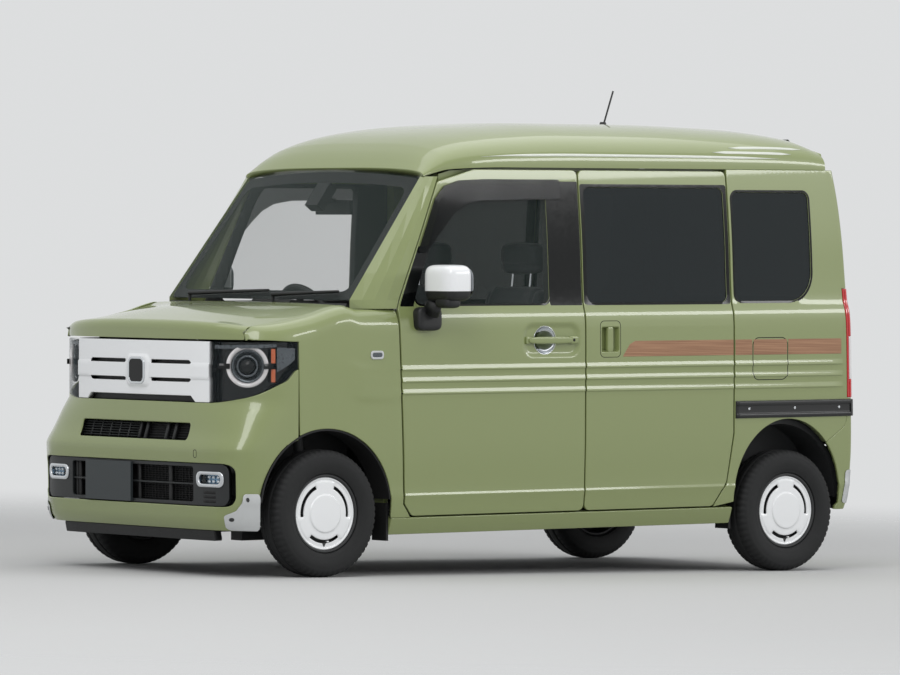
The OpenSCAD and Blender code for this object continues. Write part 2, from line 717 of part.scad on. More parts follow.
// Rear wheel houses: an inner wall and the arch over the tyre
house_t = 24;
module wheel_houses() {
    color("dimgray") raked() both() translate([rear_axle_x, house_in, hub_z + 12]) rotate([-90, 0, 0])
        difference() {
            cylinder(r = arch_r - seam, h = house_out - house_in);
            translate([0, 0, 20]) cylinder(r = arch_r - house_t, h = 300);
            translate([-500, 12, -1]) cube([1000, 500, 400]);
        }
}
sill_rear = rear_axle_x + rear_arch * arch_r + 2;
module sill_left() {
    rows = [sill_z, sill_z + 35, sill_top];
    xs = [sill_rear, -1400, -900, post_x[1]];
    patch([for (z = rows) [for (x = xs) [x, plain_y(x, z), z]]],
          [for (z = rows) [for (x = xs) [x, rail_y[0], z]]]);
}
module sills() {
    color("darkkhaki") raked() both() sill_left();
}

// Nose: plan curve at a height, from the middle round to the fender
nose_x0 = 60;
nose_end = 142;
nose_mid = [[bumper_low_z - 4, -34], [bumper_low_z + 30, -12], [320, -4], [480, -2], [532, 0], [552, -5],
    [605, -27], [grille_low_z - 40, -39], [grille_low_z, -46], [hood_edge_z, -46]];
nose_power = [[530, 9], [640, 6], [grille_low_z, 4.2]];
nose_bow = [[600, 4], [grille_low_z, 9]];
function nose_b(z, w) = plain_y(nose_x0, z) - w;
function nose_a(z, w) = front_overhang - w + curve(nose_mid, z) - nose_x0;
function bow_at(x, y, z, w) =
    curve(nose_bow, z) * pow(y / grille_half, 2) * clamp((x - nose_end) / 200, 0, 1);
function nose_x(y, z, w = 0) =
    let (x = nose_x0 + nose_a(z, w) * lobe(y / nose_b(z, w), curve(nose_power, z)))
    x - bow_at(x, y, z, w);
function nose_y(x, z, w = 0) = nose_b(z, w) * lobe((x - nose_x0) / nose_a(z, w), curve(nose_power, z));
// A point at t = 0 (middle) to 1 (side), with t = 0.6 where the corner begins
nose_knee = 0.86;
function nose_xy(t, z, w = 0) =
    t <= 0.6
        ? let (y = nose_b(z, w) * nose_knee * t / 0.6) [nose_x(y, z, w), y]
        : let (yk = nose_b(z, w) * nose_knee,
               xk = nose_x0 + nose_a(z, w) * lobe(nose_knee, curve(nose_power, z)),
               x = mix(xk, nose_end, (t - 0.6) / 0.4),
               y = nose_y(x, z, w))
          [x - bow_at(x, y, z, w), y];
function nose_point(t, z, w = 0) =
    let (p = nose_xy(abs(t), z, w)) [p[0], t < 0 ? -p[1] : p[1], z];
// Lower edge of the lamps: level by the grille, rising round the corner
lamp_split = 0.6 * grille_half / (base_y * nose_knee);
lamp_outer_low = 826;
function lamp_low(t) = mix(grille_low_z, lamp_outer_low, ramp(abs(t), lamp_split, 1));
lamp_top_z = 978;
lamp_top = [[lamp_split, lamp_top_z - 8], [0.7, lamp_top_z], [1, lamp_top_z]];
slot_half = 394;
slot_z = [570, 640];
insert_half = 656;
insert_z = [300, 478];
insert_r = 34;
module nose_prism() {
    translate([nose_x0, 0, 0]) rotate([90, 0, 90]) linear_extrude(front_overhang) children();
}
module nose_window(half, z, r) {
    nose_prism() translate([-half, z[0]]) rounded(r) square([2 * half, z[1] - z[0]]);
}
half_ts = [0, 0.18, 0.33, lamp_split, 0.52, 0.6, 0.66, 0.72, 0.8, 0.9, 1];
bumper_ts = concat([for (i = [len(half_ts) - 1:-1:1]) -half_ts[i]], half_ts);
module front_bumper() {
    vs = [0, 0.05, 0.2, 0.4, 0.58, 0.63, 0.67, 0.77, 0.86, 0.94, 1];
    color("darkkhaki") raked() difference() {
        patch([for (t = bumper_ts) [for (v = vs) nose_point(t, mix(bumper_low_z, lamp_low(t) - seam, v))]],
              [for (t = bumper_ts) [for (v = vs) nose_point(t, mix(bumper_low_z, lamp_low(t) - seam, v), skin)]]);
        arch_cut(0);
        nose_window(slot_half, slot_z, 8);
        nose_window(insert_half, insert_z, insert_r);
    }
}
insert_front = 13.4;
insert_t = 12;
backing = skin + 5;
module bumper_insert() {
    color("dimgray") raked() difference() {
        union() {
            // Backing plates behind the two openings, with cross bars in them
            front_strip(slot_half + 16, slot_z[0] - 14, slot_z[1] + 14, backing, backing + insert_t);
            front_strip(insert_half - 102, insert_z[0] - 14, insert_z[1] + 14, backing, backing + insert_t);
            for (z = [slot_z[0] + 12, slot_z[0] + 44])
                front_strip(slot_half - seam, z, z + 14, insert_front, backing + 1);
            intersection() {
                for (z = [insert_z[0] + 14, 350, 392, 438])
                    front_strip(insert_half, z, z + 22, insert_front, backing + 1);
                nose_window(insert_half - seam, insert_z, insert_r);
            }
            // Lower lip under the bumper
            front_strip(540, bumper_low_z - 44, bumper_low_z - 0.8, 4, 44);
        }
        both() fog_lamp(seam);
    }
}
// Strip across the nose between two places, two heights and two depths
module nose_strip(y0, y1, z0, z1, w0, w1, n = 8) {
    ys = steps(y0, y1, n);
    zs = steps(z0, z1, max(1, round((z1 - z0) / 34)));
    patch([for (y = ys) [for (z = zs) [nose_x(y, z) - w0, y, z]]],
          [for (y = ys) [for (z = zs) [nose_x(y, z) - w1, y, z]]]);
}
module front_strip(half, z0, z1, w0, w1, n = 8) {
    nose_strip(-half, half, z0, z1, w0, w1, n);
}
fog_at = [548, 412];
fog_size = [170, 68];
module fog_lamp(grow = 0) {
    half = fog_size / 2 + [grow, grow];
    intersection() {
        nose_strip(fog_at[0] - half[0], fog_at[0] + half[0], fog_at[1] - half[1], fog_at[1] + half[1],
            6 - grow, 28 + grow, 4);
        nose_prism() translate(fog_at - half) rounded(22) square(2 * half);
    }
}
module fog_lamps() {
    color("whitesmoke") raked() both() fog_lamp();
}
plate_at = [-155, 388];
plate_size = [330, 165];
plate_t = 12;
module front_plate() {
    color("gray") raked() translate([front_overhang - plate_t - 1, plate_at[0], plate_at[1]])
        box(0, plate_t, -plate_size[0] / 2, plate_size[0] / 2, -plate_size[1] / 2, plate_size[1] / 2);
}
// Grille: a panel with two pairs of slots and an opening at its lower edge
slot_y = [95, 362];
slot_h = 14;
slot_mid_z = [817, 891];
grille_t = 26;
module grille() {
    top = hood_edge_z - panel_gap - 8;
    color("white") raked() difference() {
        front_strip(grille_half - seam, grille_low_z + seam, top, 0, grille_t, 12);
        nose_prism() {
            for (s = [-1, 1], z = slot_mid_z) polygon([
                [s * slot_y[0], z - slot_h / 2], [s * slot_y[0], z + slot_h / 2],
                [s * (slot_y[1] + 8), z + slot_h / 2], [s * (slot_y[1] - 8), z - slot_h / 2]]);
            polygon([[-388, grille_low_z - 10], [388, grille_low_z - 10], [366, grille_low_z + 26],
                [-366, grille_low_z + 26]]);
        }
    }
}
lamp_depth = 60;
function lamp_point(t, v, w) =
    let (z = mix(lamp_low(t) + seam, curve(lamp_top, t), v), y = grille_half + seam)
    t <= lamp_split ? [nose_x(y, z, w), y, z] : nose_point(t, z, w);
module headlamps() {
    ts = [for (t = half_ts) if (t >= lamp_split) t];
    vs = steps(0, 1, 4);
    color("whitesmoke") raked() both()
        patch([for (t = ts) [for (v = vs) lamp_point(t, v, 0)]],
              [for (t = ts) [for (v = vs) lamp_point(t, v, lamp_depth)]]);
}
guard_z = [201, 228, 312, 354];
rear_guard_z = [238, 388];
module corner_guards() {
    ts = [0.606, 0.63, 0.66, 0.7, 0.75];
    color("silver") raked() both() {
        patch([for (t = ts) [for (z = guard_z) nose_point(t, z, -6)]],
              [for (t = ts) [for (z = guard_z) nose_point(t, z, -1.2)]]);
        rz = steps(rear_guard_z[0], rear_guard_z[1], 2);
        intersection() {
            patch([for (z = rz) tail_row(z, -5, tail_edge)], [for (z = rz) tail_row(z, -1.4, tail_edge)]);
            box(rear_end - 60, rear_end + 44, 0, 900, 0, 900);
        }
    }
}

// Hood: middle line and seam line as rows of [x, height]
hood_rear = -112;
hood_mid = [[hood_rear, 1136], [100, 1118], [300, 1088], [front_overhang - 60, 1064]];
hood_seam = [[hood_rear, 1128], [60, 1072], [200, 1022], [330, hood_edge_z + 4]];
hood_t = 22;
seam_y = 642;
function hood_front(y) = nose_x(y, hood_edge_z);
function hood_z(x, y) =
    mix(curve(hood_mid, x), curve(hood_seam, x), pow(min(abs(y) / seam_y, 1), 2.6));
hood_lip = 34;
function hood_point(v, y, w) =
    let (xf = hood_front(y), zb = hood_z(xf - hood_lip, y),
         drop = max(zb - hood_edge_z - 2, 2))
    v <= 1 ? let (x = mix(hood_rear, xf - hood_lip, v)) [x, y, max(hood_z(x, y) - w, hood_edge_z + 2)]
    : v <= 1.5 ? [xf - hood_lip + (hood_lip - w) * sin((v - 1) * 140), y,
        max(zb - w - min(drop, hood_lip) * (1 - cos((v - 1) * 140)) * 0.7, hood_edge_z + 2 - w * 0.02)]
    : [xf - w, y, hood_edge_z + 2 - w * 0.03];
hood_hinge = [hood_rear - 18, 1104];
hood_arm_y = 520;
hood_arm_w = 24;
hood_ys = [0, 130, 260, 390, hood_arm_y - hood_arm_w, hood_arm_y, 580, seam_y - panel_gap];
hood_vs = [0, 0.25, 0.5, 0.75, 1, 1.25, 1.5, 2];
module hood() {
    ys = concat([for (i = [len(hood_ys) - 1:-1:1]) -hood_ys[i]], hood_ys);
    color("darkkhaki") raked()
        patch([for (v = hood_vs) [for (y = ys) hood_point(v, y, 0)]],
              [for (v = hood_vs) [for (y = ys) hood_point(v, y, hood_t)]]);
}
// Underside of the hood near its rear edge, where the hinge arms bolt on
function hood_under(x, y) =
    let (a = hood_point(0, y, hood_t), b = hood_point(hood_vs[1], y, hood_t))
    mix(a[2], b[2], (x - a[0]) / (b[0] - a[0])) - seam;
module hood_hinges() {
    pad = [hood_rear + 4, hood_rear + 70];
    color("dimgray") raked() both()
        translate([hood_hinge[0], hood_arm_y, hood_hinge[1]]) rotate([90, 0, 0]) difference() {
            union() {
                cylinder(r = 11, h = hood_arm_w);
                linear_extrude(hood_arm_w) polygon([
                    [0, -10], [pad[1] - hood_hinge[0], -16],
                    for (i = [1, 0]) [pad[i] - hood_hinge[0], hood_under(pad[i], hood_arm_y) - hood_hinge[1]]]);
            }
            translate([0, 0, -1]) cylinder(r = pin_r + fit, h = hood_arm_w + 2);
        }
}

// Fenders: from the hood seam over the shoulder and down to the arch
fender_rear = -door_front + panel_gap;
fender_top = [[fender_rear - 40, belt_z - 6], [shield_low[0], belt_z - 1], [hood_rear, 1128], [60, 1074],
    [200, 1024], [330, hood_edge_z + 4]];
fender_edge = [[fender_rear - 40, 706], [shield_low[0], 676], [hood_rear, 660], [-60, seam_y], [330, seam_y]];
fender_tip = 318;
function bezier(a, b, c, d, t) =
    a * pow(1 - t, 3) + b * 3 * t * pow(1 - t, 2) + c * 3 * t * t * (1 - t) + d * pow(t, 3);
shoulder_drop = 92;
function plan_y(x, z) = x > nose_x0 ? nose_y(x, z) : plain_y(x, z);
function fender_section(x, v, w) =
    let (zt = curve(fender_top, x), ye = curve(fender_edge, x), ys = plan_y(x, zt - shoulder_drop))
    v <= 1
        ? bezier([ye, zt - w], [ys - 22 - w, zt - 4 - w], [ys - w, zt - 30 - w * 0.5], [ys - w, zt - shoulder_drop], v)
        : let (z = mix(zt - shoulder_drop, sill_top + seam, v - 1)) [plan_y(x, z) + rib(x, z) - w, z];
module fender_left() {
    vs = concat(steps(0, 1, 5), [for (z = [0.08, 0.14, 0.2, 0.26, 0.34, 0.5, 0.75, 1]) 1 + z]);
    us = steps(0, 1, 7);
    difference() {
        patch([for (i = [len(vs) - 1:-1:0]) [for (u = us) fender_point(u, vs[i], 0)]],
              [for (i = [len(vs) - 1:-1:0]) [for (u = us) fender_point(u, vs[i], skin)]]);
        arch_cut(0);
        across() offset(panel_gap) door_outline();
        box(nose_end - seam, fender_tip + 1, 300, 900, 0, lamp_top_z + seam);
        hinge_space();
    }
}
function fender_point(u, v, w) =
    let (x = mix(fender_rear - 44, fender_tip, u),
         s = fender_section(x, v, w))
    [x, s[0], s[1]];
module fenders() {
    color("darkkhaki") raked() both() fender_left();
}

// Bulkhead, cowl, inner aprons, strut towers and front frame
apron_y = 418;
apron_t = 14;
tower_r = 60;
tower_y = 500;
tower_top = 790;
module bulkhead() {
    color("dimgray") raked() {
        // Dash wall between the hinge posts
        box(floor_front + seam, floor_front + 18, -apron_y, apron_y, floor_z - floor_t, 1080);
        both() box(floor_front + seam, floor_front + 18, apron_y - 1, post_y[0] + 20, 560, 1080);
        // Cowl shelf under the wipers
        both() translate([0, 632, 0]) rotate([90, 0, 0]) linear_extrude(632)
            polygon([[floor_front + 10, 1060], [-150, 1060], [-150, 1086], [-172, 1134], [-184, 1128],
                [-172, 1090], [floor_front + 10, 1090]]);
        both() {
            // Apron beside the engine, tower over the strut
            box(floor_front + 17, 400, apron_y - apron_t, apron_y, 430, 760);
            difference() {
                box(-90, 90, apron_y - 1, tower_y + tower_r, tower_top - 20, tower_top);
                translate([0, tower_y, tower_top - 30]) cylinder(r = 26, h = 40);
            }
            box(-90, 90, apron_y - 1, apron_y + 12, 740, tower_top);
            // Hood hinge pin on its bracket
            translate([hood_hinge[0], hood_arm_y + 12, hood_hinge[1]]) rotate([90, 0, 0])
                cylinder(r = pin_r, h = 48);
            box(hood_hinge[0] - 14, hood_hinge[0] + 8, hood_arm_y + 2, hood_arm_y + 12, 1050, hood_hinge[1] + 8);
            box(floor_front + 10, hood_hinge[0] + 8, hood_arm_y + 2, hood_arm_y + 12, 1040, 1062);
        }
        // Radiator frame behind the grille
        box(388, 400, -apron_y, apron_y, 250, 960);
    }
}

// Black liners inside the front arches
liner_y = [598, 724];
liner_t = 8;
module arch_liners() {
    color("black") raked() both() {
        translate([0, liner_y[0], hub_z + 12]) rotate([-90, 0, 0]) difference() {
            cylinder(r = arch_r - seam, h = liner_y[1] - liner_y[0]);
            translate([0, 0, -1]) cylinder(r = arch_r - liner_t, h = liner_y[1] - liner_y[0] + 2);
            translate([-500, -40, -1]) cube([1000, 500, liner_y[1] - liner_y[0] + 2]);
        }
        // Mud flaps behind the front wheels and ahead of the rear ones
        box(post_x[1] + seam, post_x[1] + 12, liner_y[0], liner_y[0] + 98, 142, 300);
        box(sill_rear - 12, sill_rear - seam, liner_y[0], liner_y[0] + 90, 142, sill_top - 8);
    }
}

// Wipers parked along the foot of the windshield
module wiper(y, len) {
    a = shield(y / 640, 0.02);
    b = shield((y + len) / 640, 0.05);
    hull() {
        translate(a + [17.4, 0, 8]) sphere(r = 9, $fn = 12);
        translate(b + [13.4, 0, 8]) sphere(r = 6, $fn = 12);
    }
    translate(a + [15, 0, -34]) cylinder(r = 6.5, h = 40);
}
module wipers() {
    color("black") raked() {
        wiper(-470, 560);
        wiper(140, 420);
    }
}
module dashboard() {
    color("dimgray") raked() {
        translate([0, 590, 0]) rotate([90, 0, 0]) linear_extrude(1180) rounded(20) polygon([
            [floor_front - seam, 780], [floor_front - seam, 1090], [-470, 1100], [-600, 1060], [-640, 980],
            [-600, 830], [-460, 780]]);
        // Instrument hood in front of the driver, and the column
        translate([0, -200, 0]) rotate([90, 0, 0]) linear_extrude(280) polygon([
            [-460, 1095], [-500, 1140], [-600, 1130], [-604, 1055]]);
        translate(wheel_at) rotate([0, column_deg, 0]) translate([0, 0, -150]) cylinder(r = 20, h = 120);
    }
}
column_deg = -62;
wheel_at = [-700, -330, 1040];
module steering_wheel() {
    color("black") raked() translate(wheel_at) rotate([0, column_deg, 0]) {
        rotate_extrude() translate([172, 0]) circle(r = 15);
        translate([0, 0, -30 + fit]) cylinder(r = 52, h = 36 - fit);
        for (a = [0, 90, 180]) rotate([0, 0, a]) translate([0, -16, -12]) cube([166, 32, 14]);
    }
}

// Front seats, each a cushion, back and head rest in one; rear bench
seat_w = 470;
seat_y = rail_y[0] - 13 - seat_w / 2;
seat_base_z = 600;
module seat_profile() {
    rounded(36) polygon([
        [-760, seat_base_z], [-760, seat_base_z + 110], [-1190, seat_base_z + 90], [-1290, 1230],
        [-1320, 1400], [-1400, 1400], [-1390, 1220], [-1330, seat_base_z]]);
}
module front_seats() {
    color("slategray") raked() both() translate([0, seat_y + seat_w / 2, 0]) {
        rotate([90, 0, 0]) linear_extrude(seat_w) seat_profile();
        translate([-1300, -seat_w + 40, deck_z + seam]) cube([60, seat_w - 80, seat_base_z - deck_z + 30]);
        translate([-1100, -seat_w + 40, floor_z + seam]) cube([300, seat_w - 80, seat_base_z - floor_z]);
    }
}
module rear_seat() {
    color("slategray") raked() translate([0, 440, 0]) rotate([90, 0, 0]) linear_extrude(880)
        rounded(30) polygon([
            [-1720, deck_z + seam], [-1720, deck_z + 130], [-2080, deck_z + 120], [-2160, 1180],
            [-2250, 1180], [-2190, deck_z + seam]]);
}

// Running gear
module powertrain() {
    color("dimgray") raked() {
        box(-40, 340, -300, 300, 330, 850);
        both() box(60, 240, 300, apron_y - apron_t - seam, 560, 640);
    }
}
muffler_r = 80;
module underbody() {
    color("dimgray") raked() {
        box(-1130, -560, -330, 330, 168, floor_z - floor_t - seam);
        translate([-2700, -200, deck_z - floor_t - muffler_r - seam]) rotate([0, 90, 0])
            cylinder(r = muffler_r, h = 420);
        translate([-2300, -200, 370]) rotate([0, 90, 0]) cylinder(r = 22, h = deck_x - 24 - seam + 2300);
    }
}
strut_r = 24;
strut_foot = [556, hub_z + 65];
arm_r = 18;
module front_suspension() {
    strut_top = tower_top - 20 - seam;
    lean = atan2(strut_foot[0] - tower_y, strut_top - strut_foot[1]);
    color("dimgray") raked() both() {
        // Leaning strut between the knuckle and its tower
        translate([0, strut_foot[0], strut_foot[1]]) {
            cylinder(r = 25, h = 10);
            translate([0, 0, 5]) rotate([lean, 0, 0])
                cylinder(r = strut_r, h = (strut_top - strut_foot[1] - 25) / cos(lean));
        }
        translate([0, tower_y, strut_top - 30]) cylinder(r = 40, h = 30);
        // Lower arm under the knuckle, and the subframe back to the dash wall
        translate([0, apron_y - 60, hub_z - 77 - arm_r]) rotate([-90, 0, 0])
            cylinder(r = arm_r, h = kingpin_y - apron_y + 44);
        box(floor_front + 18 + seam, 180, 300, apron_y - 40, hub_z - 120, hub_z - 70);
        box(floor_front + 18 + seam, floor_front + 60, 300, apron_y - 40, hub_z - 71, floor_z + 40);
    }
}
stub_r = hub_bore_d / 2 - fit;
spring_r = 36;
// Height on the car of a point of the raked body
function lifted(x, z) = z * cos(rake) - x * sin(rake);
spread = track / 2;
module rear_axle() {
    color("dimgray") on_axle() translate([rear_axle_x, 0, hub_z]) {
        rotate([90, 0, 0]) cylinder(r = 34, h = 2 * spread - 180, center = true);
        both() {
            translate([0, spread - 95, 0]) rotate([-90, 0, 0]) cylinder(r = stub_r, h = 95 + disc_y - seam);
            translate([0, 506, 0]) rotate([-90, 0, 0]) cylinder(r = 95, h = 54);
            box(0, 440, beam_y + 40 + seam, beam_y + 84, -30, 30);
            translate([0, beam_y, 20])
                cylinder(r = spring_r, h = lifted(rear_axle_x + spring_r, beam_z) - hub_z - 20 - seam);
        }
    }
}
module knuckle() {
    translate([0, kingpin_y, hub_z]) {
        translate([0, 0, -76]) cylinder(r = 28, h = 140);
        rotate([-90, 0, 0]) cylinder(r = stub_r, h = spread - kingpin_y + disc_y - seam);
        rotate([-90, 0, 0]) translate([0, 0, 4]) cylinder(r = 90, h = 16);
    }
}
module knuckle_left() {
    color("dimgray") on_axle() knuckle();
}
module knuckle_right() {
    color("dimgray") on_axle() mirror([0, 1, 0]) knuckle();
}

// A tyre as a turned section, with two grooves in the tread
sidewall_r = rim_d / 2;
module tyre_section() {
    half = tyre_w / 2;
    top = tyre_d / 2;
    difference() {
        rounded(10) polygon([
            [sidewall_r, -half + 14], [sidewall_r + 50, -half], [top - 22, -half + 4], [top, -half + 24],
            [top, half - 24], [top - 22, half - 4], [sidewall_r + 50, half], [sidewall_r, half - 14]]);
        for (y = [-22, 22]) translate([top - 6, y - 4]) square([12, 8]);
    }
}
module tyre() {
    rotate([90, 0, 0]) rotate_extrude($fn = 96) tyre_section();
}
// Wheel: rim barrel, hub with its bore, and a cover with three arc slots, outer side at +Y
rim_w = 110;
disc_y = 30;
arc_r = [109, 124];
arc_half = 37;
module arc_slot() {
    intersection() {
        difference() {
            cylinder(r = arc_r[1], h = 100);
            translate([0, 0, -1]) cylinder(r = arc_r[0], h = 102);
        }
        linear_extrude(100) polygon([[0, 0], [200, -200 * tan(arc_half)], [200, 200 * tan(arc_half)]]);
    }
}
module wheel() {
    rotate([-90, 0, 0]) difference() {
        union() {
            rotate_extrude() polygon([
                [sidewall_r - seam, -rim_w / 2], [sidewall_r - seam, rim_w / 2], [sidewall_r - 12, rim_w / 2],
                [sidewall_r - 14, disc_y + 14], [arc_r[1] + 3, disc_y + 18], [arc_r[0] - 2, disc_y + 25],
                [60, disc_y + 25], [60, disc_y + 10], [arc_r[0] - 8, disc_y + 12], [sidewall_r - 14, disc_y],
                [sidewall_r - 14, -rim_w / 2]]);
            translate([0, 0, disc_y + 9]) cylinder(r = 80, h = 20);
            translate([0, 0, -30]) cylinder(r = 63, h = disc_y + 44);
        }
        translate([0, 0, -40]) cylinder(r = hub_bore_d / 2, h = 40 + disc_y);
        for (a = [-30, 90, 210]) rotate([0, 0, a]) arc_slot();
    }
}
module wheel_place(x, side) {
    on_axle() translate([x, side * spread, hub_z]) mirror([0, side < 0 ? 1 : 0, 0]) children();
}
module tyre_fl() {
    color([0.1, 0.1, 0.1]) wheel_place(0, 1) tyre();
}
module tyre_fr() {
    color([0.1, 0.1, 0.1]) wheel_place(0, -1) tyre();
}
module tyre_rl() {
    color([0.1, 0.1, 0.1]) wheel_place(rear_axle_x, 1) tyre();
}
module tyre_rr() {
    color([0.1, 0.1, 0.1]) wheel_place(rear_axle_x, -1) tyre();
}
module wheel_fl() {
    color("white") wheel_place(0, 1) wheel();
}
module wheel_fr() {
    color("white") wheel_place(0, -1) wheel();
}
module wheel_rl() {
    color("white") wheel_place(rear_axle_x, 1) wheel();
}
module wheel_rr() {
    color("white") wheel_place(rear_axle_x, -1) wheel();
}
module interior_mirror() {
    v = 0.82;
    top = shield(0, v, shield_t + seam);
    lean = atan2(shield_top[0] - shield_low[0], shield_top[2] + shield_crown - shield_low[2]);
    color("black") raked() translate(top) {
        rotate([0, lean, 0]) box(-46, -1, -45, 45, -60, 60);
        box(-90, -20, -10, 10, -40, -20);
        box(-100, -80, -120, 120, -90, -28);
    }
}
antenna_at = [-2210, -180];
module antenna() {
    z = roof_height(antenna_at[0], antenna_at[1]);
    color("black") raked() translate([antenna_at[0], antenna_at[1], z + 1]) {
        translate([0, 0, -2]) cylinder(r1 = 22, r2 = 12, h = 24);
        rotate([0, -20, 0]) cylinder(r = 4, h = 170);
    }
}

floor_pan();
floor_beams();
wheel_houses();
sills();
pillar_rails();
quarters();
roof();
fenders();
arch_liners();
bulkhead();
front_bumper();
bumper_insert();
grille();
headlamps();
fog_lamps();
corner_guards();
front_plate();
windshield();
wipers();
slide_doors();
slide_glass();
quarter_glass();
rear_bumper();
tail_lamps();
slide_rails();
dashboard();
front_seats();
rear_seat();
powertrain();
underbody();
front_suspension();
rear_axle();
interior_mirror();
antenna();
hood();
hood_hinges();
door_left();
door_right();
door_glass_left();
door_glass_right();
mirror_left();
mirror_right();
visor_left();
visor_right();
tailgate();
tailgate_hinges();
tailgate_glass();
knuckle_left();
knuckle_right();
tyre_fl();
tyre_fr();
tyre_rl();
tyre_rr();
wheel_fl();
wheel_fr();
wheel_rl();
wheel_rr();
steering_wheel();
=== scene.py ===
import json
from math import acos, asin, atan2, ceil, cos, hypot, pi, radians, sin, sqrt, tan

import bmesh
import bpy
from mathutils import Matrix, Vector
from mathutils.geometry import delaunay_2d_cdt, tessellate_polygon

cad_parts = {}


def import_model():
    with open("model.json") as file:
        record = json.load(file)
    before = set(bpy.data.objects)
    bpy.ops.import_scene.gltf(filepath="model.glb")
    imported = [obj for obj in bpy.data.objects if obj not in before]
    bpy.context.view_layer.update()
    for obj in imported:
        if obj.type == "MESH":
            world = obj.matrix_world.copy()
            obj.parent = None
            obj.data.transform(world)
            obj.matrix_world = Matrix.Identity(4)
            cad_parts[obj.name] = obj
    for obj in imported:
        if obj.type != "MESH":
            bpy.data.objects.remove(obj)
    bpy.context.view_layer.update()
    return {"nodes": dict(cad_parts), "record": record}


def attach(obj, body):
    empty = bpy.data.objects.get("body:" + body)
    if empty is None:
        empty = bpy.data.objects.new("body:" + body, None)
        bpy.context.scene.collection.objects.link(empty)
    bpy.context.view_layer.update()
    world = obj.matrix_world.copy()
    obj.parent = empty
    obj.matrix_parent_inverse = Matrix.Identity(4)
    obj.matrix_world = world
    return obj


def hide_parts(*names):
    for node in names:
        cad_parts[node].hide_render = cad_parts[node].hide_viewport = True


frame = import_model()

# Sizes in millimetres; body points are measured from the ground under the front axle
WHEELBASE, FRONT, REAR, WIDTH = 2520, 490, 385, 1475
RAKE = radians(1.15)
AXLE_X = (WHEELBASE + REAR - FRONT) / 2 - 460 * sin(RAKE)
HUB_Z, ARCH_R, ARCH_Z = 265, 340, 277
SILL, DOOR_LOW, CREASE, BELT = 165, 244, 336, 1112
GLASS_LOW, GLASS_TOP, GUTTER, ROOF_Z = 1130, 1624, 1706, 1905
DOOR_F, DOOR_R, SLIDE_R, GAP = 376, 1372, 2203, 7
SLIDE_F = DOOR_R + GAP
REAR_END = -(WHEELBASE + REAR)
REAR_AXLE = -WHEELBASE
RIB_Z, RIB_PITCH, RIB_RISE = 770, 50, 4.5
BASE_Y = WIDTH / 2 - RIB_RISE
QUARTER_F = -SLIDE_R - GAP
CORNER_D, CORNER_L, TAIL_N, TAIL_EDGE = 60, 140, 12, 606
T0 = REAR_END + CORNER_D
REAR_ARCH = 306
# Rear corner: where its curve ends, the length over which the quarter leans in, the bumper's span round it
CORNER_K, TAPER, BACK_K, BACK_S = 50, 400, 650, 700
# Handle places on the side, and the foot of the seam between front door and fender
HANDLE, SLIDE_H, CUP_X, CUP_R = (-1189, 973), (-1511, 975), -1156, 58
TOE_LOW, TOE_HIGH, FENDER_LOW = (-DOOR_F - 74, DOOR_LOW), (-DOOR_F - 34, DOOR_LOW + 50), 238


def world(p):
    """Body point in mm to the row frame in metres, with the body's rake."""
    x, y, z = p
    return ((AXLE_X + x * cos(RAKE) + z * sin(RAKE)) / 1000, y / 1000,
            (z * cos(RAKE) - x * sin(RAKE)) / 1000)


def gear(p):
    """Running gear point in mm to the row frame in metres."""
    return ((AXLE_X + p[0]) / 1000, p[1] / 1000, p[2] / 1000)


def clamp(v, lo, hi):
    return min(max(v, lo), hi)


def mix(a, b, t):
    return a + (b - a) * t


def ramp(v, a, b):
    t = clamp((v - a) / (b - a), 0, 1)
    return t * t * (3 - 2 * t)


def steps(a, b, n):
    return [mix(a, b, i / n) for i in range(n + 1)]


class Curve:
    """Smooth curve through rows of (place, value) that never overshoots."""

    def __init__(self, *rows):
        self.x = [r[0] for r in rows]
        self.y = [r[1] for r in rows]
        d = [(b[1] - a[1]) / (b[0] - a[0]) for a, b in zip(rows, rows[1:])]
        inner = [0 if a * b <= 0 else 2 * a * b / (a + b) for a, b in zip(d, d[1:])]
        self.m = [d[0]] + inner + [d[-1]]

    def __call__(self, v):
        x, y, m = self.x, self.y, self.m
        v = clamp(v, x[0], x[-1])
        i = 0
        while i < len(x) - 2 and v >= x[i + 1]:
            i += 1
        h = x[i + 1] - x[i]
        t = (v - x[i]) / h
        s = 1 - t
        return ((1 + 2 * t) * s * s * y[i] + t * s * s * h * m[i] + t * t * (3 - 2 * t) * y[i + 1]
                - t * t * s * h * m[i + 1])


def lobe(v, n):
    return max(1 - abs(v) ** n, 0) ** (1 / n)


# Body side
side_inset = Curve((SILL, 41), (SILL + 35, 27), (DOOR_LOW, 14), (CREASE - 24, 6), (CREASE - 9, 2.4),
                   (CREASE + 7, 5.6), (480, 2), (560, 0.5), (900, 0), (BELT - 92, 1), (BELT - 37, 5),
                   (BELT, 15), (GLASS_LOW, 21), (1400, 37), (GLASS_TOP, 57), (GUTTER + 8, 67))
NOSE_X0, NOSE_END = 60, 142


def rib(x, z):
    """Three raised lines, each with a long upper slope and a short lower one."""
    k = round((z - RIB_Z) / RIB_PITCH)
    q = z - RIB_Z - clamp(k, 0, 2) * RIB_PITCH
    if not -20 < q < 7:
        return 0
    start = -40 - 25 * (2 - k)
    rise = (7 - q) / 22 if q > -15 else (q + 20) / 5
    return RIB_RISE * ramp(x, start, start - 60) * ramp(x, REAR_END + 55, REAR_END + 105) * rise


def draw_in(x):
    return 16 * (max(min(x, NOSE_X0) + 300, 0) / 460) ** 2 + 6 * (max(REAR_AXLE + 220 - x, 0) / 560) ** 2


def plain_y(x, z):
    return BASE_Y - side_inset(z) - draw_in(x)


def side_y(x, z):
    return plain_y(x, z) + rib(x, z)


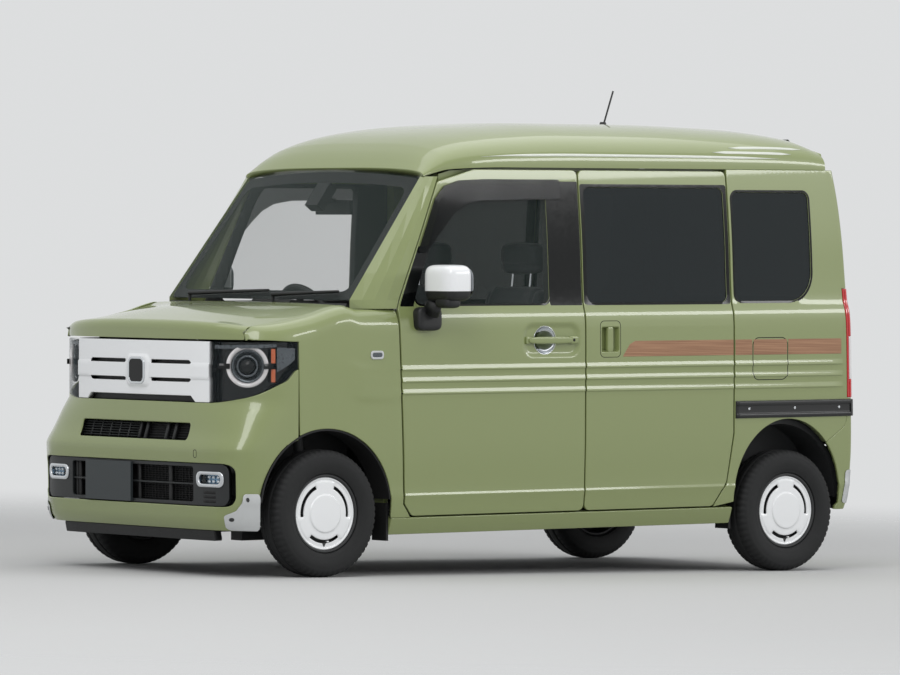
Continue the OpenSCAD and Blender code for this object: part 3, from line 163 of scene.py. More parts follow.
def side_wall(x, z):
    """Thickness of a side door, less round its window."""
    return mix(62, 36, ramp(z, BELT - 110, BELT + 10))


# Tail
rear_inset = Curve((SILL, 36), (300, 12), (480, 0), (760, 4), (BELT, 12), (1500, 36), (GUTTER, 66),
                   (1780, 84), (ROOF_Z - 85, 108))


def tail_x0(z):
    return T0 + rear_inset(z)


def tail_b(z):
    return plain_y(tail_x0(z), min(z, GUTTER))


def tail_x(y, z):
    return tail_x0(z) - CORNER_D * lobe(y / tail_b(z), TAIL_N)


def quarter_point(u, z):
    """u is the place along the car down to T0, then runs round the rear corner over CORNER_L."""
    shift = rear_inset(z)
    if u >= T0:
        x = u + shift * clamp((T0 + TAPER - u) / TAPER, 0, 1)
        return (x, side_y(x, z), z)
    d, b = T0 - u, tail_b(z)
    if d <= CORNER_K:
        x = T0 + shift - d
        return (x, b * lobe(d / CORNER_D, TAIL_N) + rib(x, z), z)
    y = mix(b * lobe(CORNER_K / CORNER_D, TAIL_N), TAIL_EDGE, (d - CORNER_K) / (CORNER_L - CORNER_K))
    return (tail_x(y, z), y, z)


def quarter_u(x, z):
    """The u of a place along the car on the quarter."""
    shift = rear_inset(z)
    if x > T0 + TAPER:
        return x
    u = (x - shift * (T0 + TAPER) / TAPER) / (1 - shift / TAPER)
    return u if u >= T0 else x - shift


def on_quarter(loop):
    return [(quarter_u(x, z), z) for x, z in loop]


def back_point(s, z):
    """Rear bumper: s = 0 at the middle, BACK_K to BACK_S round the corner, then along the side."""
    a = abs(s)
    b = tail_b(z)
    if a <= BACK_K:
        y = b * lobe(CORNER_K / CORNER_D, TAIL_N) * a / BACK_K
        x = tail_x(y, z)
    elif a <= BACK_S:
        x = tail_x0(z) - (BACK_S - a)
        y = b * lobe((BACK_S - a) / CORNER_D, TAIL_N)
    else:
        x = tail_x0(z) + a - BACK_S
        y = plain_y(x, z)
    return (x, -y if s < 0 else y, z)


# Roof
GATE_X = REAR_END + 106
roof_mid = Curve((GATE_X + GAP, ROOF_Z - 75), (-2700, ROOF_Z - 40), (-2400, ROOF_Z - 12), (-1900, ROOF_Z),
                 (-1400, ROOF_Z), (-1050, ROOF_Z - 16), (-850, ROOF_Z - 42), (-720, ROOF_Z - 78),
                 (-630, ROOF_Z - 135), (-572, ROOF_Z - 200))
gutter_line = Curve((GATE_X, GUTTER), (-2500, GUTTER), (-1000, GUTTER), (-720, GUTTER - 8),
                    (-572, GUTTER - 40))
ROOF_FX, ROOF_N, ROOF_Q = -572, 3, 700


def roof_half(x):
    return side_y(x, GUTTER) - 4 - 30 * ramp(x, -900, ROOF_FX)


def roof_height(x, y):
    return gutter_line(x) + (roof_mid(x) - gutter_line(x)) * lobe(y / roof_half(x), ROOF_N)


def roof_point(x, q):
    """q from -ROOF_Q to ROOF_Q runs across the roof from gutter to gutter."""
    th = q / ROOF_Q * pi / 2
    r = (abs(cos(th)) ** ROOF_N + abs(sin(th)) ** ROOF_N) ** (-1 / ROOF_N)
    return (x, roof_half(x) * r * sin(th), gutter_line(x) + (roof_mid(x) - gutter_line(x)) * r * cos(th))


# Windshield
SHIELD_HALF, SHIELD_TOP = 646, 640


def shield_point(p, q):
    """p in mm from the middle, q in mm up the glass."""
    u, v = p / SHIELD_HALF, q / SHIELD_HALF
    bow = 1 - u * u
    return (mix(-176, -574, v) + 18 * bow, u * mix(SHIELD_HALF, 612, v), mix(1149, 1668, v) + v * 30 * bow)


# Nose
nose_mid = Curve((196, -34), (230, -12), (320, -4), (480, -2), (532, 0), (552, -5), (605, -27), (686, -39),
                 (726, -46), (985, -46))
nose_power = Curve((530, 9), (640, 6), (726, 4.2))
nose_bow = Curve((600, 4), (726, 9))
GRILLE_HALF, GRILLE_LOW, HOOD_EDGE, NOSE_KNEE, NOSE_T = 474, 726, 985, 0.86, 0.6


def nose_b(z):
    return plain_y(NOSE_X0, z)


def nose_a(z):
    return FRONT + nose_mid(z) - NOSE_X0


def bow_at(x, y, z):
    return nose_bow(z) * (y / GRILLE_HALF) ** 2 * clamp((x - NOSE_END) / 200, 0, 1)


def nose_x(y, z):
    x = NOSE_X0 + nose_a(z) * lobe(y / nose_b(z), nose_power(z))
    return x - bow_at(x, y, z)


def nose_y(x, z):
    return nose_b(z) * lobe((x - NOSE_X0) / nose_a(z), nose_power(z))


def nose_point(t, z):
    """t = 0 at the middle, NOSE_T where the corner begins, 1 at the side."""
    a = abs(t)
    if a <= NOSE_T:
        y = nose_b(z) * NOSE_KNEE * a / NOSE_T
        x = nose_x(y, z)
    else:
        xk = NOSE_X0 + nose_a(z) * lobe(NOSE_KNEE, nose_power(z))
        x = mix(xk, NOSE_END, (a - NOSE_T) / 0.4)
        y = nose_y(x, z)
        x -= bow_at(x, y, z)
    return (x, -y if t < 0 else y, z)


LAMP_SPLIT = NOSE_T * GRILLE_HALF / (BASE_Y * NOSE_KNEE)
T_MM = BASE_Y * NOSE_KNEE / NOSE_T


def t_of_y(y, z):
    return NOSE_T * y / (nose_b(z) * NOSE_KNEE)


def lamp_low(t):
    return mix(GRILLE_LOW, 826, ramp(abs(t), LAMP_SPLIT, 1)) + 40 * ramp(abs(t), 0.88, 1)


LAMP_TOP = 978

# Hood and fenders
HOOD_REAR, SEAM_Y = -112, 642
hood_mid = Curve((HOOD_REAR, 1136), (100, 1118), (300, 1088), (FRONT - 60, 1064))
hood_seam = Curve((HOOD_REAR, 1128), (60, 1086), (200, 1060), (330, 1040))
HOOD_LIP = 34


def hood_z(x, y):
    return mix(hood_mid(x), hood_seam(x), min(abs(y) / SEAM_Y, 1) ** 2.6)


def hood_point(v, y):
    """v in mm from the rear edge; 500 at the front roll, 650 at the lower edge."""
    xf = nose_x(y, HOOD_EDGE)
    zb = hood_z(xf - HOOD_LIP, y)
    if v <= 500:
        x = mix(HOOD_REAR, xf - HOOD_LIP, v / 500)
        return (x, y, max(hood_z(x, y), HOOD_EDGE + 2))
    drop = max(zb - HOOD_EDGE - 2, 2)
    k = min(drop, HOOD_LIP)
    if v <= 550:
        a = (v - 500) / 50 * pi / 2
        return (xf - HOOD_LIP + HOOD_LIP * sin(a), y, zb - k * (1 - cos(a)))
    return (xf, y, mix(zb - k, HOOD_EDGE + 2, min((v - 550) / 100, 1)))


FENDER_R, FENDER_F = -DOOR_F + GAP, 359
fender_top = Curve((FENDER_R - 40, BELT - 6), (-176, BELT - 1), (HOOD_REAR, 1128), (60, 1088), (200, 1062),
                   (325, 1042), (340, 1037), (351, 1027), (FENDER_F + 2, 1009))
fender_edge = Curve((FENDER_R - 40, 706), (-176, 676), (HOOD_REAR, 660), (-60, SEAM_Y), (330, SEAM_Y))
SHOULDER, SHOULDER_L = 92, 130


def plan_y(x, z):
    return nose_y(x, z) if x > NOSE_X0 else plain_y(x, z)


def fender_point(x, w):
    """w in mm from the hood seam over the shoulder and down the side."""
    zt, ye = fender_top(x), fender_edge(x)
    ys = plan_y(x, zt - SHOULDER)
    if w <= SHOULDER_L:
        t = w / SHOULDER_L
        s = 1 - t
        k = (s ** 3, 3 * t * s * s, 3 * t * t * s, t ** 3)
        y = k[0] * ye + k[1] * (ys - 22) + k[2] * ys + k[3] * ys
        z = k[0] * zt + k[1] * (zt - 4) + k[2] * (zt - 30) + k[3] * (zt - SHOULDER)
        return (x, y, z)
    z = zt - SHOULDER - (w - SHOULDER_L)
    return (x, plan_y(x, z) + rib(x, z), z)


def fender_w(x, z):
    return SHOULDER_L + fender_top(x) - SHOULDER - z


# Outlines
def fillet(points, radius, n=6):
    """Polygon with its corners rounded; a point may carry its own radius."""
    out = []
    m = len(points)
    for i in range(m):
        p = Vector(points[i][:2])
        a = Vector(points[i - 1][:2]) - p
        b = Vector(points[(i + 1) % m][:2]) - p
        r = points[i][2] if len(points[i]) > 2 else radius
        la, lb = a.length, b.length
        a, b = a / la, b / lb
        ang = acos(clamp(a.dot(b), -1, 1))
        if r <= 0 or ang > pi - 0.02:
            out.append((p.x, p.y))
            continue
        t = min(r / tan(ang / 2), la * 0.49, lb * 0.49)
        r = t * tan(ang / 2)
        mid = (a + b).normalized()
        c = p + mid * (r / sin(ang / 2))
        s, e = p + a * t - c, p + b * t - c
        turn = atan2(s.x * e.y - s.y * e.x, s.dot(e))
        for k in range(n + 1):
            q = Matrix.Rotation(turn * k / n, 2) @ s + c
            out.append((q.x, q.y))
    return out


def ccw(loop):
    area = sum(a[0] * b[1] - b[0] * a[1] for a, b in zip(loop, loop[1:] + loop[:1]))
    return loop if area > 0 else loop[::-1]


def grow(loop, d):
    """Loop, turned counter-clockwise, and moved outward by d."""
    loop, out = ccw(list(loop)), []
    m = len(loop)
    for i in range(m):
        p, a, b = Vector(loop[i]), Vector(loop[i - 1]), Vector(loop[(i + 1) % m])
        e, f = (p - a).normalized(), (b - p).normalized()
        n = Vector((e.y + f.y, -e.x - f.x))
        n = n.normalized() if n.length > 1e-6 else Vector((e.y, -e.x))
        k = max(n.dot(Vector((e.y, -e.x))), 0.5)
        out.append(tuple(p + n * (d / k)))
    return out


def inside(p, loop):
    hit = False
    for a, b in zip(loop, loop[1:] + loop[:1]):
        if (a[1] > p[1]) != (b[1] > p[1]):
            hit ^= p[0] < (b[0] - a[0]) * (p[1] - a[1]) / (b[1] - a[1]) + a[0]
    return hit


def dense(loop, step):
    """Loop with no edge longer than step."""
    out = []
    for a, b in zip(loop, loop[1:] + loop[:1]):
        n = max(1, ceil(hypot(b[0] - a[0], b[1] - a[1]) / step))
        out += [(mix(a[0], b[0], i / n), mix(a[1], b[1], i / n)) for i in range(n)]
    return out


def rect(x0, x1, z0, z1, r=0, n=6):
    return fillet([(x0, z0), (x1, z0), (x1, z1), (x0, z1)], r, n)


# Meshes
class Form:
    """Points in body mm, faces, and each face's material number."""

    def __init__(self):
        self.verts, self.faces, self.mats = [], [], []

    def add(self, verts, faces, mat=0):
        k = len(self.verts)
        self.verts += [tuple(v) for v in verts]
        self.faces += [tuple(i + k for i in f) for f in faces]
        self.mats += mat if isinstance(mat, list) else [mat] * len(faces)
        return self

    def join(self, other, mat=None):
        mats = other.mats if mat is None else [mat] * len(other.mats)
        return self.add(other.verts, other.faces, list(mats))

    def mirrored(self):
        flip = [(x, -y, z) for x, y, z in self.verts]
        return Form().add(flip, [f[::-1] for f in self.faces], list(self.mats))

    def both(self):
        return Form().join(self).join(self.mirrored())

    def moved(self, m):
        return Form().add([m @ Vector(v) for v in self.verts], self.faces, list(self.mats))


def new_object(name, data):
    obj = bpy.data.objects.new(name, data)
    bpy.context.scene.collection.objects.link(obj)
    return obj


def put(name, form, body, materials, replaces=(), place=world, bevel=0):
    """One visible piece, on its body and with its materials."""
    mesh = bpy.data.meshes.new(name)
    mesh.from_pydata([place(v) for v in form.verts], [], form.faces)
    bm = bmesh.new()
    bm.from_mesh(mesh)
    for f, m in zip(bm.faces, form.mats):
        f.material_index = m
        f.smooth = True
    bmesh.ops.remove_doubles(bm, verts=bm.verts, dist=1e-6)
    bmesh.ops.recalc_face_normals(bm, faces=bm.faces)
    bm.to_mesh(mesh)
    bm.free()
    obj = new_object(name, mesh)
    for m in materials:
        mesh.materials.append(m)
    if bevel:
        mod = obj.modifiers.new("edges", "BEVEL")
        mod.width, mod.segments, mod.limit_method, mod.angle_limit = bevel / 1000, 2, "ANGLE", radians(30)
        mod.harden_normals = True
    else:
        mod = obj.modifiers.new("normals", "WEIGHTED_NORMAL")
        mod.keep_sharp = True
    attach(obj, body)
    if replaces:
        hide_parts(*replaces)
    return obj


def put_doors(name, form, materials, node=None):
    """One piece on each front door, the right one mirrored."""
    for side, shape in (("left", form), ("right", form.mirrored())):
        put(name + side, shape, "door_" + side, materials, [node + side] if node else ())


def lift(S, u, v, d):
    """Point of surface S moved by d along its normal."""
    p = Vector(S(u, v))
    if not d:
        return tuple(p)
    e = 0.5
    n = (Vector(S(u + e, v)) - Vector(S(u - e, v))).cross(Vector(S(u, v + e)) - Vector(S(u, v - e)))
    n = n.normalized() if n.length > 1e-9 else Vector((0, 0, 1))
    return tuple(p + n * d)


def lifted(S, d, sign=1):
    """Surface S moved outward by d."""
    return lambda u, v: lift(S, u, v, sign * d)


def area_of(a, b, c):
    return abs((b[0] - a[0]) * (c[1] - a[1]) - (c[0] - a[0]) * (b[1] - a[1]))


def cells(outer, holes, us, vs):
    """Flat cells of a grid, clipped by an outline and its holes."""
    pts, edges = [], []
    for loop in [outer] + holes:
        k, n = len(pts), len(loop)
        pts += loop
        edges += [(k + i, k + (i + 1) % n) for i in range(n)]
    u0, u1 = min(p[0] for p in outer), max(p[0] for p in outer)
    v0, v1 = min(p[1] for p in outer), max(p[1] for p in outer)
    for u in us:
        if u0 < u < u1:
            edges.append((len(pts), len(pts) + 1))
            pts += [(u, v0 - 1), (u, v1 + 1)]
    for v in vs:
        if v0 < v < v1:
            edges.append((len(pts), len(pts) + 1))
            pts += [(u0 - 1, v), (u1 + 1, v)]
    res = delaunay_2d_cdt([Vector(p) for p in pts], edges, [], 3, 1e-4)
    flat = [tuple(p) for p in res[0]]
    keep = []
    for f in res[2]:
        tri = tessellate_polygon([[Vector((*flat[i], 0)) for i in f]])
        if not tri:
            continue
        best = max(tri, key=lambda t: area_of(*[flat[f[i]] for i in t]))
        c = [sum(flat[f[i]][k] for i in best) / 3 for k in (0, 1)]
        if inside(c, outer) and not any(inside(c, h) for h in holes):
            keep.append(f)
    used = sorted({i for f in keep for i in f})
    where = {i: k for k, i in enumerate(used)}
    return [flat[i] for i in used], [tuple(where[i] for i in f) for f in keep]


def panel(outer, S, T, holes=(), step=30, us=(), vs=(), r=2.5, turns=3, sign=1):
    """Closed panel over an outline in (u, v), with rounded edges; material 0 outside, 1 behind."""
    outer = grow(outer, -r)
    holes = [grow(h, r) for h in holes]
    u0, u1 = min(p[0] for p in outer), max(p[0] for p in outer)
    v0, v1 = min(p[1] for p in outer), max(p[1] for p in outer)

    def lines(a, b, more):
        own = [m for m in more if a < m < b]
        n = max(1, ceil((b - a) / step))
        plain = [x for x in steps(a, b, n)[1:-1] if all(abs(x - m) > step * 0.3 for m in own)]
        return sorted(plain + own)

    flat, faces = cells(outer, holes, lines(u0, u1, us), lines(v0, v1, vs))
    seen = {}
    for f in faces:
        for a, b in zip(f, f[1:] + f[:1]):
            seen[(a, b)] = 1
    rim = [(a, b) for a, b in seen if (b, a) not in seen]
    out = {}
    for a, b in rim:
        d = Vector((flat[b][1] - flat[a][1], flat[a][0] - flat[b][0]))
        d = d.normalized() if d.length else d
        for i in (a, b):
            out[i] = out.get(i, Vector((0, 0))) + d
    out = {i: (d.normalized() if d.length > 1e-9 else d) for i, d in out.items()}

    verts, fc, mats = [tuple(Vector(S(u, v))) for u, v in flat], [], []
    rings = [{i: i for i in out}]
    for k in range(1, turns + 1):
        a = k / turns * pi / 2
        ring = {}
        for i, d in out.items():
            ring[i] = len(verts)
            u, v = flat[i][0] + d.x * r * sin(a), flat[i][1] + d.y * r * sin(a)
            verts.append(lift(S, u, v, -sign * r * (1 - cos(a))))
        rings.append(ring)
    base = []
    for i, (u, v) in enumerate(flat):
        if i in out:
            u, v = u + out[i].x * r, v + out[i].y * r
        base.append(len(verts))
        verts.append(lift(S, u, v, -sign * (T(u, v) if callable(T) else T)))
    rings.append({i: base[i] for i in out})
    for f in faces:
        fc.append(f)
        mats.append(0)
        fc.append(tuple(base[i] for i in reversed(f)))
        mats.append(1)
    for a, b in rim:
        mid = [(flat[a][k] + flat[b][k]) / 2 + (out[a] + out[b])[k] * 2 for k in (0, 1)]
        deep = 1 if any(inside(mid, h) for h in holes) else 0
        for k in range(len(rings) - 1):
            fc.append((rings[k][b], rings[k][a], rings[k + 1][a], rings[k + 1][b]))
            mats.append(deep if k == len(rings) - 2 else 0)
    return Form().add(verts, fc, mats)


# Materials
class Shader:
    """Short ways to add, set and join the nodes of a material or a world."""

    def __init__(self, owner, main="Principled BSDF"):
        owner.use_nodes = True
        self.tree = owner.node_tree
        self.main = self.tree.nodes[main]

    def set(self, node, inputs):
        for key, value in inputs.items():
            if isinstance(value, bpy.types.NodeSocket):
                self.tree.links.new(value, node.inputs[key])
            else:
                node.inputs[key].default_value = value
        return node

    def add(self, kind, inputs=None, **settings):
        node = self.tree.nodes.new("ShaderNode" + kind)
        for key, value in settings.items():
            setattr(node, key, value)
        return self.set(node, inputs or {}).outputs

    def place(self):
        return self.add("TexCoord")["Object"]

    def bump(self, height, strength):
        out = self.add("Bump", {"Strength": strength, "Distance": 0.001, "Height": height})
        self.set(self.main, {"Normal": out["Normal"]})


def material(name, color, rough=0.4, metal=0.0, coat=0.0, vary=0.06, scale=60, spec=0.5, bump=0, grain=900):
    """Principled material with fine mottling of colour and roughness."""
    m = bpy.data.materials.new(name)
    sh = Shader(m)
    where = sh.place()
    noise = sh.add("TexNoise", {"Scale": scale, "Detail": 4, "Vector": where})["Fac"]
    dark = tuple(c * (1 - vary) for c in color) + (1,)
    pale = tuple(min(c * (1 + vary), 1) for c in color) + (1,)
    tint = sh.add("Mix", {"A": dark, "B": pale, "Factor": noise}, data_type="RGBA")["Result"]
    span = sh.add("MapRange", {"To Min": max(rough - 0.05, 0.02), "To Max": rough + 0.05, "Value": noise})
    sh.set(sh.main, {"Metallic": metal, "Coat Weight": coat, "Coat Roughness": 0.04,
                     "Specular IOR Level": spec, "Base Color": tint, "Roughness": span["Result"]})
    if bump:
        sh.bump(sh.add("TexNoise", {"Scale": grain, "Vector": where})["Fac"], bump)
    return m


def glass(name, color, alpha, rough=0.02, spec=0.5):
    """See-through sheet that grows more solid toward grazing angles."""
    m = material(name, color, rough, vary=0.03, scale=8, spec=spec)
    sh = Shader(m)
    steep = sh.add("Math", {0: sh.add("LayerWeight")["Facing"], 1: 5}, operation="POWER")["Value"]
    span = sh.add("MapRange", {"To Min": alpha, "To Max": 1, "Value": steep})
    sh.set(sh.main, {"IOR": 1.5, "Alpha": span["Result"]})
    return m


def srgb(r, g, b):
    return tuple((c / 255 / 12.92) if c <= 10 else ((c / 255 + 0.055) / 1.055) ** 2.4 for c in (r, g, b))


PAINT = material("khaki_paint", srgb(133, 144, 91), 0.38, coat=0.9, vary=0.025, scale=900)
INNER = material("inner_trim", srgb(52, 53, 52), 0.6, bump=0.3)
WHITE = material("white_gloss", srgb(242, 243, 244), 0.3, coat=0.6, vary=0.015, scale=300)
BLACK = material("black_plastic", srgb(16, 17, 18), 0.5, bump=0.35, grain=1400)
GLOSS = material("black_gloss", srgb(8, 10, 10), 0.14, coat=0.05, spec=0.3)
SILVER = material("silver_plastic", srgb(196, 198, 198), 0.4, metal=0.25, vary=0.03)
CHROME = material("bright_chrome", srgb(214, 217, 220), 0.08, metal=1.0, vary=0.01)
STEEL = material("dark_steel", srgb(40, 41, 42), 0.55, vary=0.15, scale=30)
RUBBER = material("tyre_rubber", srgb(17, 18, 19), 0.75, bump=0.25, grain=500)
CLEAR = glass("clear_glass", srgb(74, 88, 84), 0.1)
DARK = glass("dark_glass", srgb(8, 22, 25), 0.82)
SMOKE = glass("smoke_plastic", srgb(8, 12, 12), 0.7, 0.1, 0.2)
LENS = glass("lamp_lens", srgb(110, 120, 124), 0.04)
SLATE = material("slate_plastic", srgb(30, 33, 34), 0.42, bump=0.15, vary=0.05)
# Near-black: the windshield border's own colour, and painted shade on the arch liners, behind the bumper
# openings and in the key holes
BLACK_AND_SHADE = material("black_and_painted_shade", srgb(9, 9, 10), 0.7)
SATIN = material("satin_grey", srgb(92, 97, 101), 0.28, metal=0.7)
LAMP = material("lamp_core", srgb(214, 222, 228), 0.12, metal=0.5, coat=1.0)
BLUE = material("cool_reflector", srgb(120, 152, 178), 0.2, metal=0.8)
AMBER = material("amber_lens", srgb(196, 92, 40), 0.22, coat=0.8)
RED = material("red_lens", srgb(196, 26, 30), 0.16, coat=0.9, vary=0.08, scale=25)
MILK = material("clear_lens", srgb(226, 222, 222), 0.18, coat=0.9)
# Near-white for the roof beads: a painted highlight of the sky on them
BEAD_HIGHLIGHT = material("bead_painted_highlight", srgb(214, 218, 206), 0.3, coat=0.6, vary=0.02)
RAILBLACK = material("rail_black", srgb(11, 12, 13), 0.36, coat=0.1, vary=0.1)


def wood():
    """Copper-brown film with long fine grain along the car."""
    m = material("wood_film", srgb(160, 112, 82), 0.45, vary=0.05, scale=40)
    sh = Shader(m)
    along = sh.add("Mapping", {"Scale": (3, 1, 260), "Vector": sh.place()})["Vector"]
    grain = sh.add("TexNoise", {"Scale": 1.0, "Detail": 8, "Vector": along})["Fac"]
    tones = sh.tree.nodes.new("ShaderNodeValToRGB")
    for stop, at, tone in zip(tones.color_ramp.elements, (0.32, 0.7), ((136, 96, 68), (172, 130, 98))):
        stop.position, stop.color = at, srgb(*tone) + (1,)
    sh.set(tones, {"Fac": grain})
    sh.set(sh.main, {"Base Color": tones.outputs["Color"]})
    return m


WOOD = wood()
PLATE = material("plate_paint", srgb(48, 54, 56), 0.45, vary=0.04, bump=0.1)

MAT_OF_SLOT = {"body_paint": PAINT, "white_trim": WHITE, "black_trim": BLACK, "silver_trim": SILVER,
               "glass_clear": CLEAR, "glass_dark": DARK, "tyre_rubber": RUBBER, "wheel_white": WHITE,
               "dark_steel": STEEL, "lamp_clear": CLEAR, "lamp_red": RED, "seat_fabric": INNER,
               "dash_plastic": INNER, "plate_gray": STEEL}
for row in frame["record"]["subparts"]:
    obj = frame["nodes"][row["node"]]
    obj.data.materials.clear()
    obj.data.materials.append(MAT_OF_SLOT[row["material_slot"]])
# The liners, dark in themselves, are made near-black as painted shade for the deep shadow inside the arches
frame["nodes"]["arch_liners"].data.materials[0] = BLACK_AND_SHADE


# Side doors
RIB_LINES = [RIB_Z + k * RIB_PITCH + d for k in range(3) for d in (-20, -18, -15.5, -13, -4, 5, 8)]
SIDE_VS = RIB_LINES + [CREASE - 24, CREASE - 9, CREASE - 5, CREASE + 3, CREASE + 7, BELT - 92, BELT - 60,
                       BELT - 37, BELT - 18, BELT]
DOOR_TOP = GUTTER - GAP - 2
PILLAR_A, PILLAR_B = (-DOOR_F, BELT + 4), (-DOOR_F - 240, GLASS_TOP + 20)
door_outline = dense(fillet([
    (-DOOR_F, BELT), PILLAR_B, (-DOOR_F - 440, DOOR_TOP), (-DOOR_R, DOOR_TOP), (-DOOR_R, DOOR_LOW),
    TOE_LOW, TOE_HIGH], 26), 30)
slide_outline = dense(fillet([
    (-SLIDE_F, DOOR_LOW), (-SLIDE_F, DOOR_TOP), (-SLIDE_R, DOOR_TOP), (-SLIDE_R, 560), (-SLIDE_R + 35, 350),
    (-SLIDE_R + 110, DOOR_LOW)], 26), 30)


def pillar_x(z):
    return mix(PILLAR_A[0], PILLAR_B[0], (z - PILLAR_A[1]) / (PILLAR_B[1] - PILLAR_A[1]))


PILLAR_LOW, PILLAR_HIGH, PANE_R = pillar_x(GLASS_LOW), pillar_x(GLASS_TOP - 60), -DOOR_R + 180
door_window = dense(fillet([
    (PILLAR_LOW - 78, GLASS_LOW), (PILLAR_HIGH - 58, GLASS_TOP - 60), (PILLAR_HIGH - 100, GLASS_TOP),
    (PANE_R, GLASS_TOP), (PANE_R, GLASS_LOW)], 30), 30)
slide_window = dense(rect(-SLIDE_R + 22, -SLIDE_F - 22, GLASS_LOW, GLASS_TOP, 30), 30)
quarter_window = dense(fillet([
    (QUARTER_F - 22, GLASS_LOW + 4), (QUARTER_F - 22, GLASS_TOP - 18), (REAR_AXLE - 152, GLASS_TOP - 18),
    (REAR_AXLE - 152, GLASS_LOW + 4, 125)], 30, 10), 30)


def round_box(u, v, a, b, r):
    """Distance from a rounded rectangle about the origin, negative inside."""
    p, q = abs(u) - a + r, abs(v) - b + r
    return hypot(max(p, 0), max(q, 0)) + min(max(p, q), 0) - r


def door_point(x, z):
    return (x, side_y(x, z) - 9 * ramp(round_box(x - HANDLE[0], z - HANDLE[1], 156, 75, 56), 0, -22), z)


def slide_point(x, z):
    return (x, side_y(x, z) - 24 * ramp(round_box(x - SLIDE_H[0], z - HANDLE[1], 47, 52, 8), 1, -5), z)


cup_hole = [(CUP_X + CUP_R * cos(a), HANDLE[1] + CUP_R * sin(a)) for a in steps(0, 2 * pi, 48)[:-1]]
door = panel(door_outline, door_point, side_wall, [door_window, cup_hole],
             vs=SIDE_VS + steps(894, 1052, 20), sign=-1, us=steps(-1350, -1028, 32))
put_doors("door_panel_", door, [PAINT, INNER], "door_")
slide = panel(slide_outline, slide_point, side_wall, [slide_window], sign=-1,
              vs=SIDE_VS + [917, 920, 923, 927, 931, 1015, 1019, 1023, 1027, 1030],
              us=[-1562, -1559, -1556, -1552, -1548, -1474, -1470, -1466, -1463, -1460])
put("slide_door_panels", slide.both(), "body", [PAINT, INNER], ["slide_doors"])

# Quarters with the rear corner
LAMP_Z = (704, 1185)
lamp_u = T0 - 22
arch = [(REAR_AXLE + REAR_ARCH * cos(a), ARCH_Z + ARCH_R * sin(a))
        for a in steps(radians(-6), radians(186), 60)]
seam_line = [(REAR_AXLE - 222, 511), (REAR_END + 75, 566), (REAR_END + 54, 584), (REAR_END + 46, 602),
             (REAR_END + 42, 632)]
near = [p for p in arch if p[1] > 242 and p[0] > REAR_AXLE - 220]
near = [p for p in near if p[0] > REAR_AXLE or p[1] > 513]
quarter_line = [(QUARTER_F, 556), (QUARTER_F, GUTTER - 0.4), (T0 - CORNER_L, GUTTER - 0.4),
                (T0 - CORNER_L, LAMP_Z[1]), (lamp_u, LAMP_Z[1]), (lamp_u, LAMP_Z[0]),
                (T0 - CORNER_L, LAMP_Z[0]), (T0 - CORNER_L, 632.4)]
quarter_line += on_quarter(seam_line[::-1])
quarter_line += near[::-1] + [(QUARTER_F + 112, 241), (QUARTER_F + 37, 345)]
quarter_hole = on_quarter(quarter_window)
quarter = panel(dense(quarter_line, 30), quarter_point, 30, [quarter_hole], vs=SIDE_VS,
                us=[T0 - d for d in (0, 10, 20, 28, 36, 43, 50, 57, 66, 80, 100, 120)], sign=-1)
put("quarter_panels", quarter.both(), "body", [PAINT, INNER], ["quarters"])

# Rear bumper
rear_side = [(BACK_S + x - tail_x0(z), z) for x, z in arch if x < REAR_AXLE - 224 and 212 < z < 509][::-1]
rear_side += [(BACK_S + x - tail_x0(z), z) for x, z in seam_line]
rear_half = [(BACK_S, 211), (BACK_S - T0 + REAR_AXLE - REAR_ARCH, 211)] + rear_side
rear_half += [(560, 632), (560, 486)]
rear_line = rear_half + [(-a, z) for a, z in rear_half[::-1]]
rear_panel = panel(dense(rear_line, 30), back_point, 14, step=28, sign=-1, r=4,
                   us=[k * d for k in (-1, 1) for d in (640, 650, 656, 662, 668, 675, 684, 700)],
                   vs=[235, 260])
put("rear_bumper_panel", rear_panel, "body", [PAINT, BLACK], ["rear_bumper"])

# Roof
roof = panel(rect(GATE_X + GAP, ROOF_FX, -ROOF_Q, ROOF_Q), roof_point, 30, step=40,
             us=[-600, -625, -650, -680], r=2)
put("roof_panel", roof, "body", [PAINT, INNER], ["roof"])

# Hood
hood = panel(rect(0, 650, -SEAM_Y + GAP, SEAM_Y - GAP), hood_point, 18, step=30,
             us=[500, 506, 512, 519, 526, 533, 541, 550, 600], r=2)
put("hood_panel", hood, "hood", [PAINT, INNER], ["hood"])

# Fenders
arch_f = [(ARCH_R * cos(a), ARCH_Z + ARCH_R * sin(a)) for a in steps(radians(60.4), radians(187), 40)]
nose_xs = (FENDER_F, 340, 318, NOSE_END - 0.4)
fender_line = [(FENDER_F, 0.0)] + [(x, fender_w(x, LAMP_TOP + 0.4)) for x in nose_xs]
fender_line += [(x, fender_w(x, z)) for x, z in arch_f if x < NOSE_END - 0.4 and z > FENDER_LOW]
foot = [(-ARCH_R, FENDER_LOW), (TOE_LOW[0] + 6, FENDER_LOW), (TOE_HIGH[0] + GAP + 2, TOE_HIGH[1]),
        (FENDER_R, BELT - 20)]
fender_line += [(x, fender_w(x, z)) for x, z in foot] + [(FENDER_R, 0)]
fender = panel(dense(fender_line, 25), fender_point, 12, step=25, sign=1,
               vs=[20, 40, 60, 80, 100, 115, 130])
put("fender_panels", fender.both(), "body", [PAINT, INNER], ["fenders"])

# Front bumper
def bumper_point(s, z):
    return nose_point(s / T_MM, z)


def arch_t(z):
    x = sqrt(max(ARCH_R ** 2 - (z - ARCH_Z) ** 2, 0))
    lo, hi = NOSE_T, 1.0
    for _ in range(30):
        m = (lo + hi) / 2
        lo, hi = (m, hi) if nose_point(m, z)[0] > x else (lo, m)
    return lo


